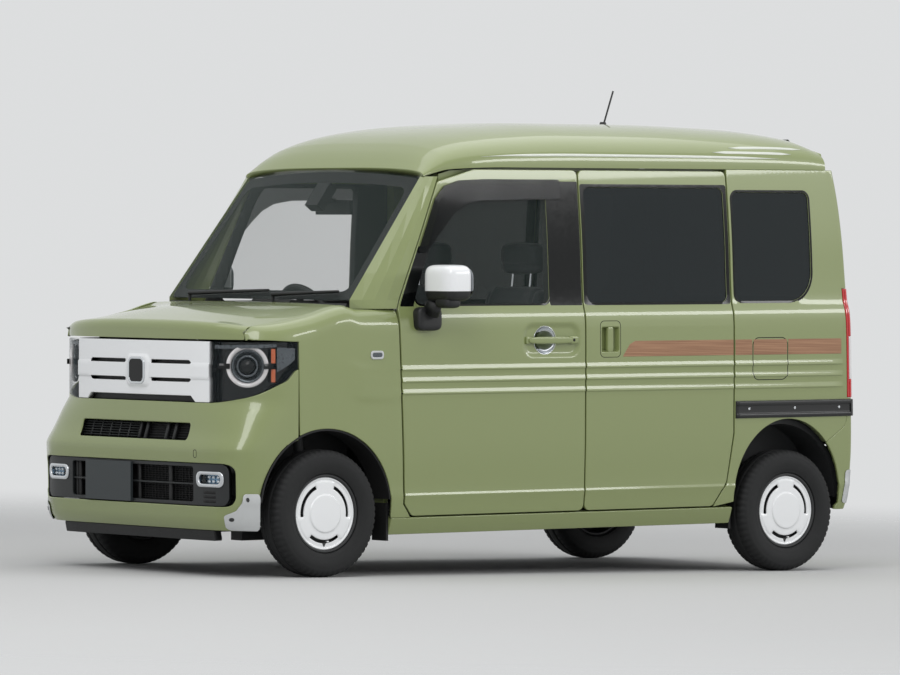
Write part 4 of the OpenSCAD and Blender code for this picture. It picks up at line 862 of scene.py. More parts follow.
side_zs = [200] + steps(215, 572, 16) + steps(600, lamp_low(1) - 1, 8)
side_t = [(arch_t(z) if z < 572 else 1.0, z) for z in side_zs]
top_t = [(t, lamp_low(t) - 0.4) for t in steps(1, 0, 30)]
half = [(t * T_MM, z) for t, z in side_t + top_t]
bumper_outline = half + [(-s, z) for s, z in half[::-1] if s > 1e-6]
slot_hole = rect(-394, 394, 570, 640, 12)
insert_hole = [(t_of_y(y, z) * T_MM, z) for y, z in dense(rect(-656, 656, 300, 478, 40), 30)]
bumper = panel(dense(bumper_outline, 30), bumper_point, 14, [dense(slot_hole, 30), insert_hole], step=28,
               sign=1, r=4, vs=[505, 520, 532, 540, 548, 556, 570, 590])
put("bumper_panel", bumper, "body", [PAINT, BLACK], ["front_bumper"])

# Windshield
shield_panel = panel(rect(-SHIELD_HALF, SHIELD_HALF, 0, SHIELD_TOP), shield_point, 6, step=60, r=1)
put("windshield_glass", shield_panel, "body", [CLEAR, CLEAR], ["windshield"])

# Tailgate
gate_top = [(y, roof_height(GATE_X + GAP, y) - 4) for y in steps(599, -599, 24)]
gate_outline = [(-599, 493), (599, 493)] + gate_top
gate_window = fillet([(-520, 1150), (520, 1150), (495, 1640), (-495, 1640)], 60)
gate = panel(dense(gate_outline, 40), lambda y, z: (tail_x(y, z), y, z), 38, [dense(gate_window, 40)],
             step=40, sign=-1, r=4)
put("tailgate_panel", gate, "tailgate", [PAINT, INNER], ["tailgate"])

# Shapes for the smaller pieces
def plain_side(x, z):
    return (x, plain_y(x, z), z)


def plain_quarter(u, z):
    x, y, z = quarter_point(u, z)
    return (x, y - rib(x, z), z)


def loft(rows, mat=0, closed=True, capped=True, wrap=False):
    """Skin over rows of points; wrap joins the last row to the first."""
    m, n = len(rows), len(rows[0])
    faces = []
    for i in range(m if wrap else m - 1):
        a, b = i * n, (i + 1) % m * n
        faces += [(a + k, a + (k + 1) % n, b + (k + 1) % n, b + k) for k in range(n if closed else n - 1)]
    if capped:
        faces += [tuple(range(n))[::-1], tuple(range((m - 1) * n, m * n))]
    return Form().add([p for row in rows for p in row], faces, mat)


def slab(loop, S, d, T, fine, step, r, sign=1, holes=(), us=(), vs=()):
    """Panel of thickness T and edge radius r over a surface moved out by d.

    The longest edge of its outline is fine.
    """
    return panel(dense(loop, fine), lifted(S, d, sign), T, [dense(h, fine) for h in holes], step, us, vs, r,
                 sign=sign)


def tube(points, r, n=12, flat=1.0):
    """Rod along points, with one radius or one for each point."""
    pts = [Vector(p) for p in points]
    rs = r if isinstance(r, list) else [r] * len(pts)
    rows, up = [], None
    for i, p in enumerate(pts):
        d = (pts[min(i + 1, len(pts) - 1)] - pts[max(i - 1, 0)]).normalized()
        if up is None:
            up = Vector((0, 0, 1)) if abs(d.z) < 0.9 else Vector((1, 0, 0))
        a = d.cross(up).normalized()
        up = a.cross(d).normalized()
        rows.append([p + (a * cos(t) * flat + up * sin(t)) * rs[i] for t in steps(0, 2 * pi, n)[:-1]])
    return loft(rows)


def lathe(profile, n=96, mat=0, cut=None):
    """Turned body about the Y axis from (radius, y) points; cut may change a radius."""
    rows = []
    for i in range(n):
        a = 2 * pi * i / n
        line = [(cut(i, k, r) if cut else r, y) for k, (r, y) in enumerate(profile)]
        rows.append([(r * cos(a), y, r * sin(a)) for r, y in line])
    return loft(rows, mat, capped=False, wrap=True)


def prism(loop, place, depth, mat=0):
    """Flat outline with straight walls; place maps (u, v, w) to a body point."""
    loop = ccw(list(loop))
    n = len(loop)
    verts = [place(u, v, 0) for u, v in loop] + [place(u, v, depth) for u, v in loop]
    faces = [tuple(range(n)), tuple(range(n, 2 * n))[::-1]]
    faces += [(i, n + i, n + (i + 1) % n, (i + 1) % n) for i in range(n)]
    return Form().add(verts, faces, mat)


def block(x0, x1, y0, y1, z0, z1, mat=0):
    return prism([(x0, y0), (x1, y0), (x1, y1), (x0, y1)], lambda u, v, w: (u, v, z0 + w), z1 - z0, mat)


def egg(centre, half, ex=0.45, ez=0.45, n=40, m=24, zs=()):
    """Box with full rounding, as a superellipsoid; zs are heights that get an edge loop."""
    x, y, z = centre
    a, b, c = half

    def power(v, e):
        return (abs(v) ** e) * (1 if v >= 0 else -1)

    lat = steps(-pi / 2, pi / 2, m)[1:-1]
    lat = sorted(lat + [asin(power(clamp((h - z) / c, -1, 1), 1 / ez)) for h in zs])
    verts, faces = [(x, y, z - c)], []
    for p in lat:
        r = power(cos(p), ez)
        for t in [2 * pi * k / n for k in range(n)]:
            verts.append((x + a * r * power(cos(t), ex), y + b * r * power(sin(t), ex),
                          z + c * power(sin(p), ez)))
    verts.append((x, y, z + c))
    for i in range(len(lat) - 1):
        low, up = 1 + i * n, 1 + (i + 1) * n
        faces += [(low + k, low + (k + 1) % n, up + (k + 1) % n, up + k) for k in range(n)]
    top, end = len(verts) - 1, 1 + (len(lat) - 1) * n
    faces += [(0, 1 + (k + 1) % n, 1 + k) for k in range(n)]
    faces += [(top, end + k, end + (k + 1) % n) for k in range(n)]
    return Form().add(verts, faces)


def shade(form, rule):
    """Sets each face's material from the middle of the face."""
    for i, f in enumerate(form.faces):
        c = [sum(form.verts[j][k] for j in f) / len(f) for k in range(3)]
        form.mats[i] = rule(*c)
    return form


# Tyres and wheels, about the hub with the outer side at +Y
TYRE_R, BEAD, HUB_Y = 265, 165, 655
tyre_half = [(BEAD, 58), (BEAD + 5, 62), (BEAD + 14, 64.5), (BEAD + 17, 67), (BEAD + 21, 66.5),
             (BEAD + 24, 68.5), (BEAD + 40, 71.5), (BEAD + 52, 72.3), (BEAD + 62, 71.6), (BEAD + 66, 70.4),
             (BEAD + 69, 71), (BEAD + 76, 69.4), (BEAD + 84, 65.5), (BEAD + 90, 60.5), (BEAD + 94, 55),
             (BEAD + 97, 49), (BEAD + 98.6, 42)]
tread = [(TYRE_R - 0.6, 33), (TYRE_R - 0.5, 27), (TYRE_R - 7, 26), (TYRE_R - 7, 18), (TYRE_R - 0.2, 17),
         (TYRE_R, 9)]
tyre_line = tyre_half + tread
tyre_line = tyre_line + [(r, -y) for r, y in tyre_line[::-1]]
SHOULDERS = {k for k, (r, y) in enumerate(tyre_line) if abs(y) > 30 and BEAD + 82 < r}
tyre_form = lathe(tyre_line, 240, cut=lambda i, k, r: r - 5 if k in SHOULDERS and i % 4 == 3 else r)

RIM = [(BEAD - 0.5, 54), (BEAD - 4, 57), (BEAD - 9, 57.5), (BEAD - 13, 54), (BEAD - 14, 40),
       (BEAD - 15, 24), (118, 22), (96, 30), (60, 34), (27, 30), (27, -28), (62, -28), (64, 8), (118, 8),
       (BEAD - 18, 12), (BEAD - 18, -50), (BEAD - 12, -54), (BEAD - 0.5, -54)]
COVER_R = [0, 14, 30, 48, 64, 74, 77, 79, 80.5, 82, 86, 96, 103, 107, 109, 112, 116, 120, 124, 126, 129,
           133, 137, 139.5, 141.5, 143, 144.5, 148, 150, 151.3]
HUB_LINE = [(0, 59.4), (64, 58.8), (74, 58.6), (77, 58.0), (79, 56.2), (80.5, 54.2), (82, 53.4)]
LIP_LINE = [(141.5, 47.6), (144.5, 51.2), (148, 51.8), (151.3, 48)]
plate_h = Curve(*HUB_LINE, (103, 53.2), (107, 52.6), (109, 51.4), (124, 48.6), (139, 47.4), *LIP_LINE)
lobe_h = Curve(*HUB_LINE, (107, 53.2), (124, 52.6), (133, 52.0), (137, 50.4), (139.5, 48.2), *LIP_LINE)
SLOT_IN, SLOT_OUT, COVER_T = 109, 124, 5


def wheel_cover():
    """White cover with three long slots, and lobes between them."""
    angles, slotted = [], []
    for c in (30, 150, 270):
        angles += steps(c - 37, c + 37, 26)[:-1] + steps(c + 37, c + 83, 18)[:-1]
        slotted += [True] * 26 + [False] * 18
    n, m = len(angles), len(COVER_R)

    def height(r, a):
        d = min(abs((a - c + 180) % 360 - 180) for c in (90, 210, 330))
        return mix(plate_h(r), lobe_h(r), ramp(d, 24, 19))

    top = [(r * cos(radians(a)), height(r, a), r * sin(radians(a))) for a in angles for r in COVER_R]
    verts = top + [(x, y - COVER_T, z) for x, y, z in top]
    k0 = len(top)
    faces = []
    open_cells = {(i, k) for i in range(n) for k in range(m - 1)
                  if slotted[i] and COVER_R[k] >= SLOT_IN and COVER_R[k + 1] <= SLOT_OUT}
    for i in range(n):
        j = (i + 1) % n
        for k in range(m - 1):
            if (i, k) in open_cells:
                continue
            a, b, c, d = i * m + k, i * m + k + 1, j * m + k + 1, j * m + k
            faces += [(a, b, c, d), (k0 + d, k0 + c, k0 + b, k0 + a)]
            for e, f, cell in ((a, d, (i, k - 1)), (b, c, (i, k + 1)), (a, b, (i - 1 if i else n - 1, k)),
                               (d, c, (j, k))):
                if cell in open_cells or cell[1] == m - 1:
                    faces.append((e, f, k0 + f, k0 + e))
    return Form().add(verts, faces)


def notch_wedge():
    """Dark triangular notch under the lowest slot, and the white valve beside it."""
    loop = [(-9, -123), (9, -123), (1.5, -137), (-1.5, -137)]
    mark = prism(loop, lambda u, v, w: (u, 49.9 - w, v), 4, 1)
    stem = tube([(-17, 40, -116), (-19, 50, -117), (-20, 53, -117)], [4, 4, 3], 10)
    return mark.join(stem)


wheel_form = lathe(RIM, 96, 1).join(wheel_cover()).join(notch_wedge())


def put_wheel(tag, x, side):
    def place(p):
        return gear((x + p[0], side * (HUB_Y + p[1]), HUB_Z + p[2]))
    put("tyre_piece_" + tag, tyre_form, "wheel_" + tag, [RUBBER], ["tyre_" + tag],
        place=place)
    put("wheel_piece_" + tag, wheel_form, "wheel_" + tag, [WHITE, STEEL], ["wheel_" + tag],
        place=place)


for tag, x, side in (("fl", 0, 1), ("fr", 0, -1), ("rl", REAR_AXLE, 1), ("rr", REAR_AXLE, -1)):
    put_wheel(tag, x, side)

# Side glass, with the black borders and pillars round it
def pane(loop, S):
    return slab(grow(loop, -0.6), S, -4, 4, 40, 60, 0.8, -1)


put_doors("door_pane_", pane(door_window, plain_side), [CLEAR, CLEAR], "door_glass_")
put("slide_panes", pane(slide_window, plain_side).both(), "body", [DARK, DARK],
    ["slide_glass"])
put("quarter_panes", pane(quarter_hole, plain_quarter).both(), "body", [DARK, DARK],
    ["quarter_glass"])


def skin(loop, S, rise=1.0, holes=(), step=40, sign=-1, us=(), vs=()):
    """Thin sheet lying on a surface."""
    return panel(dense(ccw(list(loop)), step), lifted(S, rise, sign), rise * 0.9,
                 [dense(h, step) for h in holes], step=step, us=us, vs=vs, r=min(rise, 1) * 0.8, turns=2,
                 sign=sign)


strip = skin(fillet([(-DOOR_R + 3, BELT + 8), (-DOOR_R + 3, 1648), (-DOOR_R + 178, 1648),
                     (-DOOR_R + 178, BELT + 8)], 5), plain_side)
sail = skin(fillet([(-DOOR_F - 12, BELT + 8), (pillar_x(1372) - 5, 1372), (pillar_x(1372) - 58, 1372),
                    (PILLAR_LOW - 79, GLASS_LOW - 6), (PILLAR_LOW - 79, BELT + 8)], 4), plain_side)
seal = skin(grow(door_window, 9), plain_side, 0.8, [grow(door_window, 0.4)])
trim = Form().join(strip).join(sail).join(seal)
put_doors("door_trim_", trim, [GLOSS, GLOSS])
slide_rim = skin(rect(-SLIDE_R + 3, -SLIDE_F - 3, BELT + 8, GLASS_TOP + 14, 12), plain_side, 0.8,
                 [grow(slide_window, 0.4)])
quarter_rim = skin(grow(quarter_hole, 11), plain_quarter, 0.8, [grow(quarter_hole, 0.4)])
put("window_rims", Form().join(slide_rim).join(quarter_rim).both(), "body", [GLOSS, GLOSS])

# Rain visors over the front door windows
VISOR = [(-488, 1345), (-592, 1572), (-644, 1626), (-724, 1650), (-860, 1656), (-1268, 1656), (-1268, 1572),
         (-860, 1566), (-768, 1552), (-704, 1520), (-650, 1470), (-536, 1345)]


def visor_point(x, z):
    """The shield stands further off the glass toward its lower edge."""
    return (x, plain_y(x, z) + mix(9, 7.6, ramp(z, 1540, 1652)), z)


visor = panel(dense(fillet(VISOR, 10), 40), visor_point, 2.4, step=45, r=1.0, sign=-1)
put_doors("visor_piece_", visor, [SMOKE, SMOKE], "visor_")

# Mirrors: a white cap over a black shell, on a stalk
CAP_Z = 1187
cap = egg((-537, 850, 1219), (68, 99, 77), 0.5, 0.42, zs=(CAP_Z - 3, CAP_Z + 1))
shade(cap, lambda x, y, z: 0 if z > CAP_Z else 1)
pod = egg((-520, 872, 1140), (42, 52, 26), 0.6, 0.6, 24, 14)
stalk = tube([(-520, 800, 1160), (-516, 782, 1126), (-512, 764, 1092)], [34, 37, 42], 20, 0.75)
stalk.join(egg((-512, 742, 1069), (64, 30, 50), 0.45, 0.45, 32, 18))
face = prism(rect(765, 935, 1160, 1282, 40), lambda u, v, w: (-604 - w, u, v), 1.4, 2)
mirror = Form().join(cap).join(pod, 1).join(stalk, 1).join(face)
put_doors("mirror_piece_", mirror, [WHITE, BLACK, CHROME], "mirror_")

# Grille with a raised middle band and a boss round the blank badge
def front_point(y, z):
    return (nose_x(y, z), y, z)


BADGE_Z = 852


def grille_point(y, z):
    band = 4.5 * (ramp(z, 820, 824) - ramp(z, 884, 888))
    boss = 9 * ramp(round_box(y, z - BADGE_Z, 86, 72, 38), 0, -14)
    return (nose_x(y, z) + max(band, boss), y, z)


grille_slots = []
for s in (-1, 1):
    grille_slots.append(fillet([(s * 93, 885), (s * 370, 885), (s * 350, 899), (s * 93, 899)], 4))
    grille_slots.append(fillet([(s * 93, 823), (s * 370, 823), (s * 350, 809), (s * 93, 809)], 4))
grille_line = fillet([(-473.6, 726.4), (-390, 726.4), (-362, 752), (362, 752), (390, 726.4), (473.6, 726.4),
                      (473.6, 979), (-473.6, 979)], 5)
grille = panel(dense(grille_line, 30), grille_point, 24, [dense(h, 30) for h in grille_slots], step=36, r=3,
               us=[k * d for k in (-1, 1) for d in (58, 66, 74, 80, 86, 90)],
               vs=[780, 785, 790, 796, 802, 816, 820, 824, 884, 888, 892, 902, 908, 914, 919, 924])


def nose_bar(y0, y1, z0, z1, w0, w1, n=8, mat=0):
    """Bar across the nose between two depths behind its surface."""
    corners = ((z0, w0), (z1, w0), (z1, w1), (z0, w1))
    return loft([[(nose_x(y, z) - w, y, z) for z, w in corners] for y in steps(y0, y1, n)], mat)


grille.join(nose_bar(-460, 460, 728, 968, 26, 34, 12, 1))
badge_rim = rect(-60, 60, BADGE_Z - 57, BADGE_Z + 57, 30)
badge_face = rect(-50, 50, BADGE_Z - 47, BADGE_Z + 47, 22)
grille.join(slab(badge_rim, front_point, 13, 4, 12, 30, 1.8, 1, [badge_face], [-55, 55], [BADGE_Z]), 2)
grille.join(slab(badge_face, front_point, 10.4, 2, 12, 40, 0.6), 3)
put("grille_panel", grille, "body", [WHITE, BLACK, CHROME, GLOSS], ["grille"])

# Openings in the front bumper
def lip_point(y, z):
    return (nose_x(y, z) - 4 - 6 * ramp(z, 190, 157), y, z)


insert = Form()
side_hole = dense(rect(-438, 438, 317, 461, 12), 30)
fog_holes = [dense(rect(s * 548 - 68, s * 548 + 68, 391, 433, 18), 12) for s in (-1, 1)]
frame_loop = dense(rect(-655, 655, 301, 477, 39), 24)
insert.join(panel(frame_loop, lifted(front_point, -9), 24, [side_hole] + fog_holes, step=34, r=3, vs=[388]),
            0)
# Bars with material 2 are near-black sheets and slots: painted shade for the dark space behind the openings
bars = [(-452, 452, 304, 474, 50, 56, 20, 2), (-438, 438, 386, 394, 14, 30, 16, 0),
        (-408, 408, 556, 654, 46, 52, 16, 2)]
bars += [(y, y + 16, 316, 462, 24, 40, 1, 1) for y in (-438, -414, 26, 250, 420)]
bars += [(y, y + 2.5, 318, 460, 38, 44, 1, 1) for y in range(60, 430, 24)]
bars += [(y, y + 5, 571, 639, 18, 30, 1, 0) for y in (-330, -262, -194, -126, -58)]
bars += [(y, y + 12, 571, 639, 20, 38, 1, 1) for y in (12, 60, 205, 262)]
bars += [(508, 582, z, z + 11, 8.4, 20, 4, 2) for z in (316, 334, 352)]
for z in [322 + 9.4 * i for i in range(15)]:
    bars.append((30, 434, z, z + 3, 36, 44, 10, 1))
for z in [575 + 10.6 * i for i in range(6)]:
    bars += [(-392, 14, z, z + 4.6, 14, 34, 12, 0), (40, 392, z, z + 3.4, 32, 40, 10, 1)]
for bar in bars:
    insert.join(nose_bar(*bar))
lip = panel(dense(rect(-540, 540, 157, 199, 6), 30), lip_point, 40, step=40, r=3)
insert.join(lip, 1)
put("bumper_openings", insert, "body", [SLATE, BLACK, BLACK_AND_SHADE], ["bumper_insert"])

# Fog lamps: a bright rim, a clear pane and small lights behind it
fog_rim, fog_pane = rect(464, 632, 378.5, 445.5, 27), rect(482, 614, 393, 431, 17)
fog_hole = rect(483, 613, 394, 430, 17)
fog = slab(fog_rim, front_point, -2, 22, 12, 30, 5, 1, [fog_hole], [474, 622], [386, 412, 438])
fog.mats = [0] * len(fog.mats)
fog.join(slab(fog_pane, front_point, -10, 3, 12, 30, 1), 1)
fog.join(nose_bar(482, 614, 393, 431, 24, 28, 6, 2))
for y in (532, 559, 586):
    for z in (403, 421):
        fog.join(egg((nose_x(y, z) - 20, y, z), (6, 9, 7), 1, 1, 12, 8), 3)
fog.join(nose_bar(488, 512, 396, 428, 14, 24, 2, 4))
put("fog_lamp_pair", fog.both(), "body", [CHROME, LENS, BLUE, LAMP, GLOSS], ["fog_lamps"])

# Tow cover and the corner guards with their screws
# The tow cover is drawn only as a thin black ring: painted shade for the gap round it
cover = skin(rect(461, 483, 499, 533, 9), bumper_point, 0.5, [rect(463.4, 480.6, 501.4, 530.6, 7)], 20, 1,
             us=[462, 482])
put("tow_cover_line", cover, "body", [GLOSS, GLOSS])


def disc(S, u, v, r, rise, sign, n=16):
    """Low round head standing on a surface."""
    rings = [(r, -0.6), (r, rise * 0.6), (r * 0.8, rise), (r * 0.35, rise), (r * 0.3, rise * 0.5)]
    around = steps(0, 2 * pi, n)[:-1]
    return loft([[lift(S, u + q * cos(a), v + q * sin(a), sign * h) for a in around] for q, h in rings])


guard_line = fillet([(703, 355), (792, 354), (797, 212), (776, 201), (642, 206), (637, 266), (672, 286),
                     (692, 315)], 16)
guards = slab(guard_line, bumper_point, 5.6, 4.2, 14, 16, 2.4)
for u, z in ((720, 331), (658, 250)):
    guards.join(disc(lifted(bumper_point, 5.6), u, z, 8, 1.6, 1), 1)
rear_guard = rect(T0 - CORNER_L + 4, T0 - 17, 240, 386, 16)
guards.join(slab(rear_guard, plain_quarter, 4.6, 3.2, 14, 14, 1.6, -1), 0)
put("guard_pieces", guards.both(), "body", [SILVER, STEEL], ["corner_guards"])

# Headlamps: a clear lens over a dark floor, with a ring lamp, amber bars and a grey wing
lamp_ts = steps(LAMP_SPLIT, 1, 30)
lamp_line = [(t * T_MM, lamp_low(t) + 1) for t in lamp_ts]
start, end = lamp_line[0], lamp_line[-1]
lamp_line = [(start[0] + 1.5, start[1])] + lamp_line[1:-1]
lamp_line += [(T_MM - 4, end[1] + 6), (T_MM - 2, 900), (T_MM - 2, 962), (T_MM - 14, LAMP_TOP - 1)]
lamp_line += [(t * T_MM, LAMP_TOP - 1) for t in lamp_ts[-2:0:-1]] + [(start[0] + 1.5, LAMP_TOP - 8)]
lens = panel(dense(lamp_line, 30), bumper_point, 4, step=28, r=2, sign=1)
head = Form().join(lens, 0)
head.join(slab(lamp_line, bumper_point, -46, 6, 30, 40, 1), 1)
spot = Matrix.Translation((333, 624, 878)) @ Matrix.Rotation(radians(-45), 4, "Z")
for line, n, mat in (([(89, 2), (87, 7), (80, 9), (72, 5), (69, -3), (74, -6), (89, -6)], 64, 2),
                     ([(68, -3), (60, -10), (46, -16), (46, -20), (70, -12)], 48, 3),
                     ([(46, 0), (43, 5), (36, 3), (34, -8), (46, -10)], 48, 3),
                     ([(0, 20), (12, 19), (22, 15), (30, 8), (34, -2), (34, -10), (0, -10)], 48, 1)):
    head.join(lathe(line, n).moved(spot), mat)
for u0, u1 in ((72, 118), (-108, -70)):
    bar = prism(rect(u0, u1, -11, 11, 3), lambda u, v, w: (u, 4 + w, v), 10)
    head.join(bar.moved(spot), 1)
for z0, z1 in ((812, 866), (890, 950)):
    head.join(slab(rect(806, 842, z0, z1, 4), bumper_point, -12, 4, 14, 20, 1.5), 4)
wing = fillet([(858, 852), (980, 884), (1034, 904), (1036, 952), (858, 956)], 8)
head.join(slab(wing, bumper_point, -16, 4, 24, 24, 2), 3)
eyebrow = fillet([(500, 948), (850, 956), (850, 970), (500, 964)], 4)
head.join(slab(eyebrow, bumper_point, -10, 5, 24, 24, 2), 3)
put("headlamp_units", head.both(), "body", [LENS, GLOSS, MILK, SATIN, AMBER], ["headlamps"])

# Plain blank plate, kept from the solid model
plate = frame["nodes"]["front_plate"]
plate.data.materials[0] = PLATE
edge = plate.modifiers.new("edges", "BEVEL")
edge.width, edge.segments = 0.003, 3

# Tail lamps: red down the side, with a clear window in the part that faces back
tail = Form()
low, high, back, side = LAMP_Z[0] + 1, LAMP_Z[1] - 1, T0 - CORNER_L + 1, T0 - 34.5
for u0, u1, z0, z1, mat in ((T0 - 33, lamp_u - 1, low, high, 0), (back, side, 974, high, 0),
                            (back, side, 789, 972, 1), (back, side, low, 787, 0)):
    tail.join(slab(rect(u0, u1, z0, z1, 6), quarter_point, 3, 30, 20, 20, 3, -1,
                   us=[T0 - d for d in (28, 32, 36, 40, 43, 47, 57, 66, 80)]), mat)
put("tail_lamp_pair", tail.both(), "body", [RED, MILK], ["tail_lamps"])

# Sills
sill = panel(dense(rect(REAR_AXLE + REAR_ARCH + 4, -344, 166, 237, 6), 40), plain_side, 46, step=50,
             sign=-1, r=4, vs=[190, 212])
put("sill_panels", sill.both(), "body", [PAINT, BLACK], ["sills"])


# Door handles: a chrome cup behind a painted bar with a key hole
def cup_at(x, z, dip):
    return Matrix.Translation((x, side_y(x, z) - dip, z))


cup_line = [(61.5, 1.6), (60, 2.2), (57.5, 1), (56, -4), (49, -16), (36, -25), (19, -30), (0, -31),
            (0, -34), (20, -33), (38, -29), (52, -19), (60, -6)]
handle = lathe(cup_line, 48, 1).moved(cup_at(CUP_X, HANDLE[1], 9))
bar_y = side_y(HANDLE[0], HANDLE[1])
for dx, dy, size, ex, n, m in ((10, 2, (118, 11, 15), 0.35, 48, 16), (-118, -2, (24, 12, 17), 0.5, 32, 14),
                               (128, -5, (12, 8, 16), 0.5, 24, 12)):
    handle.join(egg((HANDLE[0] + dx, bar_y + dy, HANDLE[1]), size, ex, 0.5, n, m), 0)
# The key hole is a small near-black disc: painted shade for the hole
key = lathe([(0, 2), (5, 2), (6.5, 1), (6.5, -4), (0, -4)], 20, 2)
handle.join(key.moved(cup_at(HANDLE[0] - 114, HANDLE[1], -9.5)))
put_doors("door_handle_", handle, [PAINT, CHROME, BLACK_AND_SHADE])


def about(place, a, b, r):
    """Rounded rectangle about a place."""
    return rect(place[0] - a, place[0] + a, place[1] - b, place[1] + b, r)


pull = skin(about(SLIDE_H, 57, 79, 22), plain_side, 0.5, [about(SLIDE_H, 54.5, 76.5, 20)], 20,
            us=[SLIDE_H[0] - 55.6, SLIDE_H[0] + 55.6])
pull.mats = [1] * len(pull.mats)
pull_y = plain_y(*SLIDE_H)
pull.join(egg((SLIDE_H[0], pull_y - 8, SLIDE_H[1] - 2), (16, 10, 54), 0.4, 0.25, 24, 20), 0)
put("slide_handles", pull.both(), "body", [PAINT, GLOSS])

# Wood-grain stripe, fuel lid and side repeater
STRIPE_Z = (899, 966)
tip = [(-1578, 899), (-1604, 933), (-1618, 952), (-1648, 966), (-2201, 966), (-2201, 899)]
stripe = skin(fillet(tip, 3), plain_side, 0.8)
for x0, x1 in ((-2308, -2212), (-2508, -2316), (-2828, -2516)):
    stripe.join(skin(on_quarter(rect(x0, x1, *STRIPE_Z, 1)), plain_quarter, 0.8))
put("side_stripes", stripe.both(), "body", [WOOD, WOOD])
# The fuel lid is drawn only as a thin black ring on the quarter: painted shade for the gap round it
lid = on_quarter(rect(-2514, -2310, 788, 975, 36, 10))
inner = on_quarter(rect(-2510.5, -2313.5, 791.5, 971.5, 33, 10))
lid_line = panel(dense(lid, 12), lifted(quarter_point, 0.5, -1), 0.5, [dense(inner, 12)], step=20, r=0.3,
                 turns=2, sign=-1, us=[quarter_u(-2312, 880), quarter_u(-2512, 880)], vs=SIDE_VS)
put("fuel_lid_line", lid_line, "body", [GLOSS, GLOSS])


def fender_side(x, z):
    return fender_point(x, fender_w(x, z))


marker_rim, marker_hole = rect(-290, -222, 902, 938, 14), rect(-281, -231, 911, 929, 8)
marker = slab(marker_rim, fender_side, 4, 5, 10, 14, 2.5, -1, [marker_hole], [-286, -226], [920])
marker.mats = [0] * len(marker.mats)
marker.join(slab(rect(-282, -230, 910, 930, 8), fender_side, 2.6, 3, 10, 14, 1, -1), 1)
put("side_repeaters", marker.both(), "body", [SILVER, SATIN])

# Slide rails with their screws and end caps
RAIL = [(0.3, 623), (5, 624), (7.6, 627), (8, 635), (7.4, 641), (4.4, 643), (3.6, 647), (3.6, 675),
        (4.4, 677), (7.2, 679), (8, 684), (8, 692), (6.4, 697), (0.3, 699)]
rail_us = steps(QUARTER_F - 4, T0, 30) + [T0 - d for d in (8, 16, 24, 32, 40)]
rail = loft([[lift(plain_quarter, u, z, -h) for h, z in RAIL] for u in rail_us])
for x in (-2289, -2552, -2813):
    rail.join(disc(lifted(plain_quarter, 3.6, -1), quarter_u(x, 664), 664, 6, 1.6, -1), 1)
rail.join(slab(rect(T0 - 74, T0 - 36, 624, 698, 7), plain_quarter, 8.4, 8, 10, 10, 2.5, -1), 0)
put("slide_rail_pair", rail.both(), "body", [RAILBLACK, CHROME], ["slide_rails"])

# Raised beads along the roof side, coloured near-white as a painted highlight of the sky on them
BEAD_LINE = ((-1, 0.1), (-0.5, 1.7), (0, 2.2), (0.5, 1.7), (1, 0.1))
beads = Form()
for x0, x1, q0, q1 in ((-861, -2520, 575, 584), (-2146, -2600, 537, 528), (-2249, -2675, 491, 464)):
    rows = []
    for t in steps(0, 1, 40):
        w = 12 * min(1, 6 * t + 0.06, 8 * (1 - t) + 0.06)
        rows.append([lift(roof_point, mix(x0, x1, t), mix(q0, q1, t) + k * w, h) for k, h in BEAD_LINE])
    beads.join(loft(rows, closed=False, capped=False))
put("roof_beads", beads.both(), "body", [BEAD_HIGHLIGHT])

# Windshield border
border = panel(dense(rect(-640, 640, 3, 637, 30), 40), lifted(shield_point, -6.6), 0.8,
               [dense(rect(-596, 596, 46, 584, 46), 40)], step=60, r=0.3, turns=1, sign=1, us=[0], vs=[300])
put("windshield_border", border, "body", [BLACK_AND_SHADE, BLACK_AND_SHADE])

# Seats: stuffed covers swollen by a cloth simulation, then sewn down along their channels
def weave(name, color):
    """Woven cloth: two crossing waves as bump, with a soft sheen."""
    m = material(name, color, 0.85, vary=0.12, scale=220)
    sh = Shader(m)
    where = sh.place()
    waves = [sh.add("TexWave", {"Scale": 260, "Vector": where}, bands_direction=way)["Fac"]
             for way in ("Y", "DIAGONAL")]
    sh.bump(sh.add("Math", {0: waves[0], 1: waves[1]}, operation="MULTIPLY")["Value"], 0.35)
    sh.set(sh.main, {"Sheen Weight": 0.25})
    return m


FABRIC = weave("seat_cloth", srgb(62, 64, 66))
VOXEL, PRESSURE, SWELL, FRAMES = 0.014, 4, 0.009, 20
CHANNEL, CHANNEL_W = 7, 7


def baked(obj):
    """The object's mesh with its modifiers applied."""
    deps = bpy.context.evaluated_depsgraph_get()
    mesh = bpy.data.meshes.new_from_object(obj.evaluated_get(deps), depsgraph=deps)
    obj.modifiers.clear()
    obj.data = mesh
    return mesh


def unworld(v):
    """Body point in mm of a point in the row frame."""
    x, z = v.x * 1000 - AXLE_X, v.z * 1000
    return (x * cos(RAKE) - z * sin(RAKE), v.y * 1000, x * sin(RAKE) + z * cos(RAKE))


